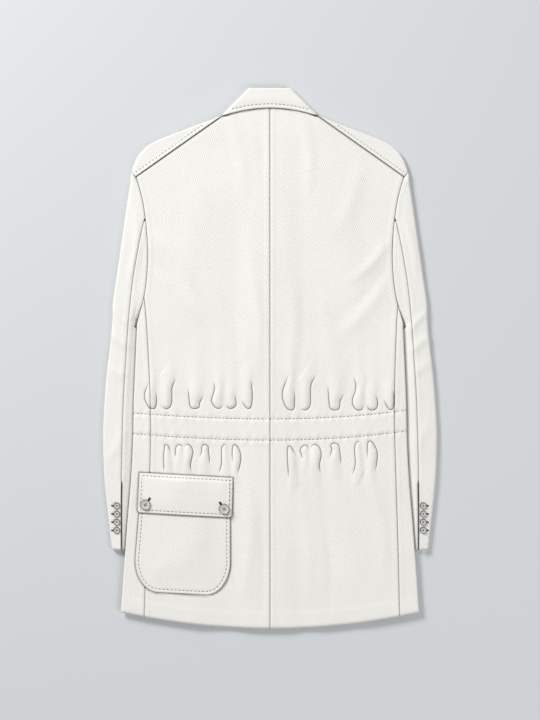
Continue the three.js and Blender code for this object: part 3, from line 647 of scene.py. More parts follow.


# Cloth: a sheet from a grid of points in millimetres, rows by columns, whose face looks out where columns
# cross rows. Points that aren't numbers leave a gap. shade is painted shade, which darkens the cloth at its
# seams and beside edges that lie on it, and side is -1 for a left piece, whose grid is given as on the right.
def clothSheet(node, grid, shade, side=1, withCreaseShade=False):
    if side < 0:
        grid, shade = (grid * [-1, 1, 1])[:, ::-1], shade[:, ::-1]
    name = node + "_cloth"
    rows, cols = grid.shape[:2]
    there = ~np.isnan(grid[..., 2])
    number = np.cumsum(there.ravel()).reshape(rows, cols) - 1
    quadOk = there[:-1, :-1] & there[:-1, 1:] & there[1:, :-1] & there[1:, 1:]
    i, j = np.nonzero(quadOk)
    faces = np.stack([number[i, j], number[i, j + 1], number[i + 1, j + 1], number[i + 1, j]], axis=1)
    points = grid[there] * mm
    mesh = bpy.data.meshes.new(name)
    mesh.from_pydata(points.tolist(), [], faces.tolist())
    # The cloth's own directions, across it from a column on the upper layer and along the grain
    filled = np.where(np.isnan(grid), 0, grid)
    across = np.zeros((rows, cols))
    across[:, 1:] = np.cumsum(np.linalg.norm(np.diff(filled, axis=1), axis=2), axis=1)
    start = max((0, cols // 2, cols - 1), key=lambda column: filled[:, column, 2].mean())
    across += (filled[:, start, 0] - across[:, start])[:, None]
    flat = np.stack([across, filled[..., 1]], axis=-1)[there] * mm
    uvMap = mesh.uv_layers.new(name="cloth")
    loopPoints = np.empty(len(mesh.loops), int)
    mesh.loops.foreach_get("vertex_index", loopPoints)
    uvMap.data.foreach_set("uv", flat[loopPoints].ravel())
    pointAttribute(mesh, "paintedShade", shade[there])
    if withCreaseShade:
        # Painted shade along the creases of the gathers, on the upper layer only
        _, toLine, creaseShade = gatherRelief(grid[..., 0], downOf(grid))
        pointAttribute(mesh, "creaseDistance", toLine[there])
        pointAttribute(mesh, "paintedCreaseShade", (creaseShade * (grid[..., 2] > 6))[there])
    mesh.polygons.foreach_set("use_smooth", [True] * len(faces))
    mesh.materials.append(drill)
    piece = addObject(name, mesh)
    thickness = piece.modifiers.new("clothThickness", "SOLIDIFY")
    thickness.thickness = jacket["wall"] * mm
    thickness.offset = -1
    # The size it was cut to: its widest and longest stretch and its area
    a, b, c, d = (points[faces[:, k]] for k in range(4))
    area = 0.5 * np.linalg.norm(np.cross(c - a, d - b), axis=1).sum()
    width, length = (
        np.nansum(np.linalg.norm(np.diff(grid, axis=axis), axis=2), axis=axis).max() * mm for axis in (1, 0)
    )
    area = round(float(min(area, width * length)), 4)
    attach(piece, "root")
    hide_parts(node)


# How dark the painted shade in a seam, or beside an edge that lies on the cloth, is at a distance from it
def paintedDarkness(distance, strength=0.5, width=0.7):
    return strength * hill(np.abs(distance), width)


# Rows of a panel from the hem up, closer together from above the gathers at the waist to below them
panelRows = {"back": 560.0, "side": 552.0, "above": 92, "below": 82, "skirt": 66, "gathered": 140,
             "upper": 112}


def panelDowns(bottom, top, waist):
    start, end = waist + panelRows["below"], waist - panelRows["above"]
    low = np.linspace(bottom, start, panelRows["skirt"])
    middle = np.linspace(start, end, panelRows["gathered"])[1:]
    return np.concatenate([low, middle, seamSpaced(end, top, panelRows["upper"], 0.25)[1:]])


def backPanel(hand, side):
    columns = []
    for share in seamSpaced(0, 1, 150, 0.3):
        top = float(backTopDown(share * yokeSeam["end"][0])) + 0.3
        bottom = float(hemDown(share * backEdge(hem["sideDown"], side)))
        down = panelDowns(bottom, top, panelRows["back"])
        columns.append((np.maximum(0.12, share * (backEdge(down, side) - 0.1)), down))
    half, down = (np.stack(part, axis=1) for part in zip(*columns))
    toEdge = backEdge(down, side) - half
    toYoke = (down - backTopDown(half)) * yokeSeam["square"]
    z = settled(side * half, down) + seamRelief(half) + seamRelief(toEdge)
    # The yoke laps over the back, which lies lower beneath it
    z = z - 1.0 * (1 - smooth(0, 5, toYoke)) + hemRelief(half, down)
    collarEdge = lerp(fall["edgeDown"], fall["sideDown"], (half / fall["sideHalf"]) ** 2)
    # Painted shade at the centre seam, at the side seam, under the yoke's edge, under the collar's edge and,
    # on the left, round the pocket
    shade = paintedDarkness(half, 0.6, 0.7) + paintedDarkness(toEdge, 0.6, 0.8) + paintedDarkness(toYoke, 0.9, 1.6)
    shade = shade + paintedDarkness(np.maximum(0, down - collarEdge), 0.85, 1.6) * (half < fall["sideHalf"])
    if side < 0:
        shade = shade + pocketShade(-half, down)
    grid = toPoints(half, down, np.maximum(z, 3))
    clothSheet(f"back_{hand}", grid, shade, side, withCreaseShade=True)


# The height of the back, which the pocket keeps flat beneath it
def settled(x, down):
    across, below = fromPocket(x, down)
    covered = smooth(2, 10, np.minimum(insetOf(pocket, across, below), below))
    return lerp(bodyHeight(x, down), baseHeight(x, down) - 0.2, covered)


# The hem is turned up, so it is thicker up to a faint line, and rolls over at its fold
def hemRelief(half, down):
    up = hemDown(half) - down
    doubled = hem["thicker"] * (1 - smooth(hem["turnUp"] - 3, hem["turnUp"] + 3, up))
    line = hem["lineDip"] * hill(up - hem["turnUp"], hem["line"])
    return doubled - line - hem["roll"] * (1 - smooth(0, hem["rollWide"], up))


def sidePanel(hand, side):
    rows = [(sideSeam(d, side) + 0.1, d, along(bodyEdge, d), d, along(sideFrontSeam, d) + 0.1, d)
            for d in panelDowns(hem["sideDown"], jacket["underarm"] + 1, panelRows["side"])]
    # The lower rows ease from the slant of the hem to level
    slant = float(hemDown(rows[0][0])) - hem["sideDown"]
    for k in range(12):
        extra = slant * (1 - k / 12)
        a, ad, f, fd, b, bd = rows[k]
        rows[k] = (a, ad + extra, f, fd, b, bd + extra)
    # The upper rows close in on the corner under the arm
    start = rows[-1]
    end = (0, sideSeamTop(side) + 2, 219.4, 388.5, 194.5, 333)
    for t in np.linspace(0, 1, 18)[1:]:
        row = [lerp(a, b, t) for a, b in zip(start, end)]
        rows.append((sideSeam(row[1], side) + 0.1, *row[1:]))

    def top(x, down):
        half = np.abs(x)
        toSeam = half - sideSeam(down, side)
        return settled(x, down) + seamRelief(toSeam) + hemRelief(half, down)

    counts = rowPoints["side"]
    grid = np.stack([foldedRow(side, r[0:2], r[2:4], r[4:6], top, frontHeight, counts) for r in rows])
    half, down = grid[..., 0], downOf(grid)
    # Painted shade at the side seam and, on the left, round the pocket, on the upper layer only
    shade = paintedDarkness(half - sideSeam(down, side), 0.6, 0.8)
    if side < 0:
        shade = shade + pocketShade(-half, down)
    shade = shade * (grid[..., 2] > 7)
    clothSheet(f"side_{hand}", grid, shade, side, withCreaseShade=True)


# A front reaches past the centre by its overlap. Its columns are upright at first, then spread to the side.
front = {"overlap": 20, "spreadFrom": 78, "armhole": 213.7, "inside": 0.9, "lap": 2.2, "rows": 150}


def frontEdge(down):
    edge = np.where(down < 325, along(frontArmhole, down), along(sideFrontSeam, down)) - front["inside"]
    return np.where(down < 160, front["armhole"], edge)


def frontPanel(hand, side):
    upright = [(half, 0) for half in np.linspace(-front["overlap"], front["spreadFrom"], 26)]
    spread = [(front["spreadFrom"], share) for share in seamSpaced(0, 1, 34, 0.3)[1:]]
    columns = []
    for start, share in upright + spread:
        def halfAt(down):
            return lerp(start, frontEdge(down), share)

        atTop = float(halfAt(100.0))
        dip = math.sqrt(max(0, 1 - (max(0, atTop) / front["spreadFrom"]) ** 2))
        top = lerp(neck["sideDown"] + 3, neck["frontDown"], dip)
        if atTop >= front["spreadFrom"] - 2:
            top = float(yokeSeamDown(atTop)) + 2.5
        down = np.linspace(float(hemDown(halfAt(float(hem["sideDown"])))) - 1, top, front["rows"])
        columns.append((halfAt(down), down))
    half, down = (np.stack(part, axis=1) for part in zip(*columns))
    z = frontHeight(side * half, down)
    if side > 0:
        z = z + front["lap"] * (1 - smooth(22, 44, half))
    grid = toPoints(half, down, z)[:, ::-1]
    clothSheet(f"front_{hand}", grid, np.zeros(grid.shape[:2]), side)


# The yoke's lap over the back, its pressed edge and its row of stitches. along pairs shares of the way down
# the seam with shares of the way down the shoulder, between which the cloth runs over the fold.
yoke = {"lap": 1.1, "lapWide": 10, "edge": 0.9, "stitchIn": 6, "stitchDip": 0.5, "stitchWide": 1.3,
        "rows": 92,
        "along": [(0.006, 0.01), (0.03, 0.045), (0.15, 0.20), (0.3, 0.39), (0.45, 0.56), (0.6, 0.72),
                  (0.74, 0.84), (0.84, 0.91), (0.91, 0.955), (0.96, 0.98), (1.0, 1.0)]}


def shoulderYoke(hand, side):
    outline = np.array(shoulderOutline, float)
    run = np.concatenate([[0], np.cumsum(np.linalg.norm(np.diff(outline, axis=0), axis=1))])
    byRunDown, byRunHalf = (list(zip(run, part)) for part in outline.T)

    def top(x, down):
        toSeam = toYokeSeam(np.abs(x), down)
        lap = yoke["lap"] * (1 - smooth(0, yoke["lapWide"], toSeam))
        edge = yoke["edge"] * (1 - smooth(0, 1.0, toSeam))
        stitch = yoke["stitchDip"] * hill(toSeam - yoke["stitchIn"], yoke["stitchWide"])
        return bodyHeight(x, down) + lap - edge - stitch

    rows = []
    for share in np.linspace(yoke["along"][0][0], 1, yoke["rows"]):
        seamHalf = lerp(yokeSeam["start"][0], yokeSeam["end"][0], share)
        seam = (seamHalf, float(yokeSeamDown(seamHalf)) - 0.1)
        at = run[-1] * float(along(yoke["along"], share))
        fold = (float(along(byRunHalf, at)), float(along(byRunDown, at)))
        rows.append(foldedRow(side, seam, fold, seam, top, frontHeight, rowPoints["yoke"]))
    grid = np.stack(rows)[::-1]
    # Painted shade along the yoke seam
    shade = paintedDarkness(toYokeSeam(grid[..., 0], downOf(grid)), 0.7, 0.6) * (grid[..., 2] > 5)
    clothSheet(f"yoke_{hand}", grid, shade, side)


# Rows of a sleeve from the cuff up, and where its back seam comes out of the armhole
sleeveDowns = np.concatenate([
    np.linspace(758, 420, 110), np.linspace(417, 376, 16), np.linspace(373, 156, 72)
])
sleeveSeamTop = 216
armholeShadeEnd = 390
sleeveTop = {"seam": (221.7, 147), "fold": (228.7, 139.2), "inner": (221.4, 148)}
cuffCorners = {"top": (246.1, 261, 159.3), "under": (246, 139, 159), "level": 763.0}


def sleeveFrontSeam(down):
    if down < jacket["underarm"]:
        return float(along(frontArmhole, down)) + 0.6
    return float(along(sleeveInner, down) + 6 + 14 * smooth(jacket["underarm"], 460, down))


def flatSurface(x, down):
    return np.zeros_like(np.asarray(x, float))


def sleeveSeam(down):
    return np.where(down < sleeveSeamTop, along(backArmhole, down), along(sleeveBackSeam, down))


def ventOpening(down):
    return smooth(vent["start"], vent["end"], down)


def topSleeve(hand, side):
    def top(x, down):
        toSeam = np.abs(x) - sleeveSeam(down)
        opening = ventOpening(down)
        lap = 0.9 * opening * (1 - smooth(0, 9, toSeam))
        return sleeveHeight(x, down) + seamRelief(toSeam) * (1 - opening) + lap

    def row(seam, fold, inner):
        return foldedRow(side, seam, fold, inner, top, flatSurface, rowPoints["topSleeve"])

    rows = [row(*[(half, float(cuffDown(half))) for half in cuffCorners["top"]])]
    for down in sleeveDowns:
        clear = 0.3 if down <= sleeveSeamTop else 0.1
        rows.append(row((float(sleeveSeam(down)) + clear, down), (float(along(sleeveOuter, down)), down),
                        (sleeveFrontSeam(down) + 0.2, down)))
    rows.append(row(sleeveTop["seam"], sleeveTop["fold"], sleeveTop["inner"]))
    grid = np.stack(rows)
    # Painted shade along the back seam
    shade = paintedDarkness(grid[..., 0] - sleeveSeam(downOf(grid))) * (grid[..., 2] > 4)
    clothSheet(f"top_sleeve_{hand}", grid, shade, side)


def underSleeve(hand, side):
    counts = rowPoints["underSleeve"]

    def top(x, down):
        half = np.abs(x)
        toSeam = along(sleeveBackSeam, down) - half
        opening = ventOpening(down)
        toArmhole = np.where(down < armholeShadeEnd, half - along(backArmhole, down), 20)
        relief = seamRelief(toSeam) * (1 - opening) + seamRelief(toArmhole) - 0.4 * (toArmhole < 9)
        return sleeveHeight(x, down) + relief - vent["drop"] * opening * (1 - smooth(0, 4, toSeam))

    rows = []
    for down in [cuffCorners["level"], *sleeveDowns[sleeveDowns > sleeveSeamTop + 2]]:
        seamHalf = float(along(sleeveBackSeam, down)) - 0.1
        if down > jacket["underarm"]:
            # The lowest row lies on the slant of the cuff
            slanted = down == cuffCorners["level"]
            corners = cuffCorners["under"]
            seamDown, foldDown, innerDown = (float(cuffDown(h)) if slanted else down for h in corners)
            fold = (float(along(sleeveInner, down)), foldDown)
            inner = (sleeveFrontSeam(down) - 0.2, innerDown)
            rows.append(foldedRow(side, (seamHalf, seamDown), fold, inner, top, flatSurface, counts))
        else:
            # Above the underarm only the upper layer is left, up to the armhole
            half = seamSpaced(seamHalf, float(along(backArmhole, down)) + 0.3, counts[0], 0.6)
            upper = toPoints(half, down, top(side * half, down))
            rows.append(np.concatenate([upper, np.full((counts[1] - 2 + counts[2], 3), np.nan)]))
    grid = np.stack(rows)[:, ::-1]
    half, down = grid[..., 0], downOf(grid)
    opening = ventOpening(down)
    # Painted shade along the back seam, deeper and wider where the vent opens, along the armhole, and beside
    # the body's edge where it lies on the sleeve
    shade = paintedDarkness(along(sleeveBackSeam, down) - half, 0.6 + 0.38 * opening, 0.8 + 1.6 * opening)
    shade = shade + np.where(down < armholeShadeEnd, paintedDarkness(half - along(backArmhole, down)), 0)
    fromBody = np.maximum(0, half - along(bodyEdge, down))
    shade = shade + np.where(down > jacket["underarm"] - 12, paintedDarkness(fromBody, 0.9, 1.9), 0)
    shade = np.where(grid[..., 2] > 3.5, np.minimum(shade, 1), 0)
    clothSheet(f"under_sleeve_{hand}", grid, shade, side)


# The collar, a flattened cone that is open in front
fall = {"foldHalf": 38, "edgeDown": 33, "sideHalf": 79, "sideDown": 44.6, "top": 11.8, "roll": 2.7,
        "leafFold": (7, 72), "leafPoint": (60, 128), "stitchIn": 6.4, "stitchWide": 1.4, "above": 6}
stand = {"top": 8.9, "bottom": 2.3, "foldDown": 5.5, "foldHalf": 33, "sideHalf": 73, "sideDown": 41.6}


# A flattened ring of the collar: behind the neck, round each side and on to the end of each leaf
def collarRing(backDown, side, leafEnd, top, bottom, counts):
    radius = (top - bottom) / 2
    t = np.linspace(0, 1, counts[0])
    back = toPoints((side[0] - radius) * t, lerp(backDown, side[1], t * t), top)
    angle = np.linspace(0, math.pi, counts[1])[1:-1]
    out, up = np.sin(angle) * radius, np.cos(angle) * radius
    turn = toPoints(side[0] - radius + out, side[1], (top + bottom) / 2 + up)
    t = np.linspace(0, 1, counts[2])
    leaf = toPoints(lerp(side[0] - radius, leafEnd[0], t), lerp(side[1], leafEnd[1], t), bottom)
    ring = np.concatenate([back, turn, leaf])
    return np.concatenate([(ring[1:] * [-1, 1, 1])[::-1], ring])


# Height that the stitched edge adds to the fall, by the distance from its edge
def collarRelief(fromEdge):
    lap = -0.8 * (1 - smooth(0, 1.2, fromEdge))
    stitch = -0.5 * hill(fromEdge - fall["stitchIn"], fall["stitchWide"])
    dome = 0.6 * smooth(6, 16, fromEdge) * (1 - smooth(18, 30, fromEdge))
    return lap + stitch + dome


# The fall at a share of the way from its fold to its edge, raised a little above its smooth cone
def fallRing(t, raised, counts):
    side = (lerp(fall["foldHalf"], fall["sideHalf"], t), lerp(fall["roll"], fall["sideDown"], t))
    leaf = [lerp(a, b, t) for a, b in zip(fall["leafFold"], fall["leafPoint"])]
    ring = collarRing(lerp(fall["roll"], fall["edgeDown"], t), side, leaf, fall["top"], 0, counts)
    ring[:, 2] += np.where(ring[:, 2] > fall["above"], raised, 0)
    return ring


def collarFall():
    counts = rowPoints["fall"]
    rings, shade = [], []
    for t in np.linspace(1, 0, 34):
        fromEdge = (1 - t) * (fall["edgeDown"] - fall["roll"])
        rings.append(fallRing(t, collarRelief(fromEdge), counts))
        # Painted shade along the fall's edge
        shade.append(np.full(len(rings[-1]), float(paintedDarkness(fromEdge, 0.3, 0.8))))
    # The cloth rolls over the fold and a little way down inside it
    for angle in np.linspace(0, math.pi * 0.85, 12)[1:]:
        deep = fall["roll"] * (1 - math.cos(angle))
        over = fall["roll"] * math.sin(angle)
        rings.append(collarRing(
            fall["roll"] - over,
            (fall["foldHalf"] - deep * 0.9 - over * 0.3, fall["roll"] - over * 0.95),
            (fall["leafFold"][0], fall["leafFold"][1] - over),
            fall["top"] - deep, deep * 0.55, counts,
        ))
        shade.append(np.zeros(len(rings[-1])))
    clothSheet("collar_fall", np.stack(rings), np.stack(shade))


def collarStand():
    rings = [
        collarRing(
            lerp(neck["backDown"] - 0.3, stand["foldDown"], t),
            (lerp(stand["sideHalf"], stand["foldHalf"], t),
             lerp(stand["sideDown"], stand["foldDown"] + 1, t)),
            (8, lerp(neck["frontDown"] - 3, fall["leafFold"][1] + 6, t)),
            stand["top"] - 0.1 * t, stand["bottom"] + 0.3 * t, rowPoints["stand"],
        )
        for t in np.linspace(0, 1, 14)
    ]
    grid = np.stack(rings)
    clothSheet("collar_stand", grid, np.zeros(grid.shape[:2]))


# The pocket on the wearer's left back, in a frame turned with the flare of the side
pocket = {"half": -138.2, "down": 638.4, "turn": 3.2, "lean": 2.3, "width": 157, "taper": 0.041,
          "length": 196, "corner": (39, 54.5), "mouth": 9, "bulge": 2.4, "above": 2.0, "stitchIn": 5.7,
          "stitchDip": 0.55, "stitchWide": 1.5, "edge": 1.3, "slack": 0.8}
flap = {"width": 156.4, "taper": 0.014, "length": 66.3, "corner": (5, 5), "above": 2.0, "stitchIn": 5.0,
        "stitchDip": 0.5, "stitchWide": 1.4, "edge": 1.1, "dome": 0.8}


# A place on the pocket, across and down from the middle of its upper edge
def onPocket(across, below):
    turn, lean = math.radians(pocket["turn"]), math.radians(pocket["lean"])
    return (pocket["half"] + across * math.cos(turn) - below * math.sin(lean),
            pocket["down"] + across * math.sin(turn) + below * math.cos(lean))


def fromPocket(x, down):
    turn, lean = math.radians(pocket["turn"]), math.radians(pocket["lean"])
    dx, dd = x - pocket["half"], down - pocket["down"]
    size = math.cos(turn - lean)
    across = (dx * math.cos(lean) + dd * math.sin(lean)) / size
    return across, (dd * math.cos(turn) - dx * math.sin(turn)) / size


# Half the width of a patch at a distance below its top. Its lower corners are quarters of an ellipse.
def patchHalf(shape, below):
    fromCorner = below - (shape["length"] - shape["corner"][1])
    into = np.clip(fromCorner / shape["corner"][1], 0, 1)
    rounding = shape["corner"][0] * (1 - np.sqrt(1 - into * into))
    return shape["width"] / 2 + shape["taper"] * np.minimum(0, fromCorner) - rounding


# Distance from a place on a patch to its edge, negative outside it
def insetOf(shape, across, below):
    wide, high = shape["corner"]
    drawnIn = shape["taper"] * np.maximum(0, shape["length"] - high - below)
    fromSide = shape["width"] / 2 - drawnIn - np.abs(across)
    fromEnd = shape["length"] - below
    u, v = np.maximum(wide - fromSide, 0) / wide, np.maximum(high - fromEnd, 0) / high
    r = np.maximum(np.hypot(u, v), 1e-6)
    toCorner = (1 - r) * r / np.maximum(np.hypot(u / wide, v / high), 1e-6)
    straight = np.minimum(fromSide, fromEnd)
    return np.where((u > 0) & (v > 0), np.minimum(toCorner, straight), straight)


# How much of the back's relief shows through the top of the pocket
def atMouth(half, down, below):
    return 0.35 * gathers(half, down) * (1 - smooth(10, 40, below))


def bagHeight(across, below):
    half, down = onPocket(across, below)
    inset = insetOf(pocket, across, below)
    puff = smooth(pocket["stitchIn"], 60, inset) * pocket["bulge"]
    stitch = pocket["stitchDip"] * hill(inset - pocket["stitchIn"], pocket["stitchWide"])
    edge = pocket["edge"] * (1 - smooth(0, 1.6, inset))
    slack = pocket["slack"] * np.cos(across / 15 + 0.6 + below / 90) * np.cos(below / 33)
    onBack = baseHeight(half, down) + atMouth(half, down, below) + pocket["above"]
    return onBack + puff - stitch - edge + slack * smooth(12, 40, inset)


def flapHeight(across, below):
    half, down = onPocket(across, below)
    inset = np.minimum(insetOf(flap, across, below), np.maximum(below, 0))
    stitch = flap["stitchDip"] * hill(inset - flap["stitchIn"], flap["stitchWide"])
    edge = flap["edge"] * (1 - smooth(0, 1.5, inset))
    onBack = baseHeight(half, down) + atMouth(half, down, below) + flap["above"] + 0.6
    onBag = bagHeight(across, np.maximum(below, pocket["mouth"])) + flap["above"] + 0.9
    dome = flap["dome"] * smooth(6, 26, inset)
    return lerp(onBack, onBag, smooth(0, 11, below)) - stitch - edge + dome


# The painted shade on the cloth round the pocket and its flap
def pocketShade(x, down):
    across, below = fromPocket(x, down)
    outside = np.maximum(-insetOf(pocket, across, below), 0)
    besideFlap = np.maximum(np.maximum(-insetOf(flap, across, below), -below), 0)
    bag = paintedDarkness(outside, 0.8, 1.6) * (below > 5)
    return np.maximum(bag, paintedDarkness(besideFlap, 0.8, 1.6) * (below < flap["length"]))


def patchGrid(shape, belows, height):
    shares = seamSpaced(-1, 1, 74, 0.45)
    across = shares[None, :] * patchHalf(shape, belows)[:, None]
    below = np.broadcast_to(belows[:, None], across.shape)
    half, down = onPocket(across, below)
    return toPoints(half, down, height(across, below))[::-1], across[::-1], below[::-1]


def pocketBag():
    corner = pocket["corner"][1]
    straight = np.linspace(pocket["mouth"], pocket["length"] - corner, 62)
    into = corner * np.sin(np.linspace(0, math.pi / 2, 34)[1:])
    belows = np.concatenate([straight, pocket["length"] - corner + np.minimum(into, corner * 0.9995)])
    grid, across, below = patchGrid(pocket, belows, bagHeight)
    # Painted shade along the bag's edge, and painted shadow just below the flap's lower edge
    shade = paintedDarkness(insetOf(pocket, across, below), 0.55, 0.8)
    shade = shade + paintedDarkness(np.maximum(0, below - flap["length"]), 0.85, 1.7)
    clothSheet("pocket_bag", grid, shade)


def pocketFlap():
    belows = seamSpaced(0, flap["length"] - 0.02, 48, 0.5)
    grid, across, below = patchGrid(flap, belows, flapHeight)
    # Painted shade along the flap's edge
    shade = paintedDarkness(np.minimum(insetOf(flap, across, below), below), 0.6, 0.8)
    clothSheet("pocket_flap", grid, shade)


for hand, side in (("left", -1), ("right", 1)):
    backPanel(hand, side)
    sidePanel(hand, side)
    frontPanel(hand, side)
    shoulderYoke(hand, side)
    topSleeve(hand, side)
    underSleeve(hand, side)
collarFall()
collarStand()
pocketBag()
pocketFlap()
print("cloth made")


# Height of the body's surface, out to where it rolls round its edge
def bodySurface(x, down):
    half = np.abs(x)
    edge = along(bodyEdge, down)
    top = bodyHeight(x, down)
    low = frontHeight(x, down)
    inset = (top - low) / 2
    past = np.clip((half - (edge - inset)) / inset, 0, 1)
    return (top + low) / 2 + np.sqrt(1 - past * past) * (top - low) / 2


# Stitches: short rounded lengths of thread laid end to end along a line, by geometry nodes
topstitch = {"Pitch": 6.5, "Stitch Length": 4.9, "Thread Thickness": 1.0}
shorterStitch = {"Pitch": 6.5, "Stitch Length": 4.6, "Thread Thickness": 0.85}
buttonThread = {"Pitch": 0.8, "Stitch Length": 1.2, "Thread Thickness": 0.7}
satinStitch = {"Pitch": 0.9, "Stitch Length": 1.7, "Thread Thickness": 1.0}


def stitchTree(name, material):
    tree = bpy.data.node_groups.new(name, "GeometryNodeTree")
    sockets = {}
    tree.interface.new_socket("Geometry", in_out="INPUT", socket_type="NodeSocketGeometry")
    for label, value in topstitch.items():
        socket = tree.interface.new_socket(label, in_out="INPUT", socket_type="NodeSocketFloat")
        socket.default_value = value * mm
        sockets[label] = socket.identifier
    tree.interface.new_socket("Geometry", in_out="OUTPUT", socket_type="NodeSocketGeometry")
    inputs = addNode(tree, "NodeGroupInput")
    path = addNode(tree, "GeometryNodeMeshToCurve", {0: inputs.outputs["Geometry"]}).outputs[0]
    spacing = {"Curve": path, "Length": inputs.outputs["Pitch"]}
    spaced = addNode(tree, "GeometryNodeResampleCurve", spacing, mode="LENGTH").outputs[0]
    tangent = addNode(tree, "GeometryNodeInputTangent").outputs[0]
    turn = addNode(tree, "FunctionNodeAlignRotationToVector", {"Vector": tangent}, axis="X").outputs[0]
    bead = addNode(tree, "GeometryNodeMeshUVSphere", {"Segments": 6, "Rings": 5, "Radius": 0.5}).outputs[0]
    length, thickness = inputs.outputs["Stitch Length"], inputs.outputs["Thread Thickness"]
    size = addNode(tree, "ShaderNodeCombineXYZ", {0: length, 1: thickness, 2: thickness}).outputs[0]
    shaped = addNode(tree, "GeometryNodeTransform", {"Geometry": bead, "Scale": size}).outputs[0]
    smoothed = addNode(tree, "GeometryNodeSetShadeSmooth", {0: shaped}).outputs[0]
    places = {"Points": spaced, "Instance": smoothed, "Rotation": turn}
    placed = addNode(tree, "GeometryNodeInstanceOnPoints", places).outputs[0]
    real = addNode(tree, "GeometryNodeRealizeInstances", {0: placed}).outputs[0]
    dressed = addNode(tree, "GeometryNodeSetMaterial", {"Geometry": real, "Material": material}).outputs[0]
    addNode(tree, "NodeGroupOutput", {0: dressed})
    return tree, sockets


seamTree = stitchTree("topstitchNodes", seamThread)
holeTree = stitchTree("buttonholeNodes", buttonholeThread)
lift = topstitch["Thread Thickness"] * 0.2  # how far a stitch's middle lies above the cloth


# One piece of stitching from several lines of points in millimetres
def stitching(name, lines, sizes, treeAndSockets=seamTree):
    tree, sockets = treeAndSockets
    points, edges = [], []
    for line in lines:
        start = len(points)
        points.extend((np.asarray(line) * mm).tolist())
        edges.extend((start + k, start + k + 1) for k in range(len(line) - 1))
    mesh = bpy.data.meshes.new(name + "_path")
    mesh.from_pydata(points, edges, [])
    path = addObject(name + "_path", mesh)
    modifier = path.modifiers.new("stitches", "NODES")
    modifier.node_group = tree
    for label, value in sizes.items():
        modifier[sockets[label]] = value * mm
    evaluated = path.evaluated_get(bpy.context.evaluated_depsgraph_get())
    result = bpy.data.meshes.new_from_object(evaluated)
    bpy.data.objects.remove(path)
    bpy.data.meshes.remove(mesh)
    result.name = name
    piece = addObject(name, result)
    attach(piece, "root")
    print(name, len(result.polygons), "faces")


def waistLines():
    lines = []
    for line in (casing["top"], casing["bottom"]):
        reach = float(along(bodyEdge, line[1])) - 0.6
        x = np.linspace(-reach, reach, 320)
        down = casingLine(line, x)
        lines.append(toPoints(x, down, bodySurface(x, down) + lift))
    return lines


def yokeLines():
    lines = []
    half = np.linspace(113, 220, 90)
    down = yokeSeamDown(half) - yoke["stitchIn"] / yokeSeam["square"]
    lap = yoke["lap"] * (1 - smooth(0, yoke["lapWide"], yoke["stitchIn"])) - yoke["stitchDip"]
    for side in (-1, 1):
        lines.append(toPoints(side * half, down, bodyHeight(side * half, down) + lap + lift))
    return lines


def collarLine():
    t = 1 - fall["stitchIn"] / (fall["edgeDown"] - fall["roll"])
    ring = fallRing(t, collarRelief(fall["stitchIn"]) + lift, rowPoints["collarLine"])
    return ring[(np.abs(ring[:, 0]) < 62) & (ring[:, 2] > fall["above"])]


# A line round a patch, at an inset from its edge, starting and ending at a distance below its top
def patchLine(shape, inset, start, height, closed=False):
    wide, high = (max(size - inset, 1.0) for size in shape["corner"])
    side, end = shape["width"] / 2 - inset, shape["length"] - inset
    angle = np.linspace(0, math.pi / 2, 20)
    right = [(float(patchHalf(shape, start)) - inset, start)]
    right += [(side - wide + wide * math.cos(a), end - high + high * math.sin(a)) for a in angle]
    left = [(-across, below) for across, below in reversed(right)]
    outline = right + left
    if closed:
        outline.append(right[0])
    across, below = np.array(outline).T
    run = np.concatenate([[0], np.cumsum(np.hypot(np.diff(across), np.diff(below)))])
    fine = np.linspace(0, run[-1], 400)
    across, below = np.interp(fine, run, across), np.interp(fine, run, below)
    half, down = onPocket(across, below)
    return toPoints(half, down, height(across, below) + lift)


stitching("waist_stitches", waistLines(), topstitch)
stitching("yoke_stitches", yokeLines(), shorterStitch)
stitching("collar_stitches", [collarLine()], topstitch)
bagLine = patchLine(pocket, pocket["stitchIn"], flap["length"] + 1, bagHeight)
flapLine = patchLine(flap, flap["stitchIn"], flap["stitchIn"], flapHeight, closed=True)
stitching("bag_stitches", [bagLine], topstitch)
stitching("flap_stitches", [flapLine], topstitch)

# Buttons and buttonholes. A hole's tick is its angle, and far is where it ends from the button's middle.
flapButton = {"out": 65.1, "down": 52.4, "radius": 8.5, "thick": 2.8, "ring": 0.14, "above": 0.5,
              "turn": 0.3, "hole": 20, "holeWide": 1.1,
              "outer": {"tick": 55, "far": 13.6}, "inner": {"tick": 124, "far": 13.8}}
cuffButton = {"half": 252.8, "down": 689.2, "pitch": 13.5, "count": 4, "radius": 5.6, "thick": 2.2,
              "ring": 0.26, "above": 0.3, "turn": 0.2, "hole": 12.6, "holeWide": 0.55, "holeOut": 2.4}
frontButton = {"down": 170, "pitch": 120, "count": 4, "radius": 9, "thick": 2.0, "ring": 0.14}
stitchesApart = 0.7  # round a buttonhole


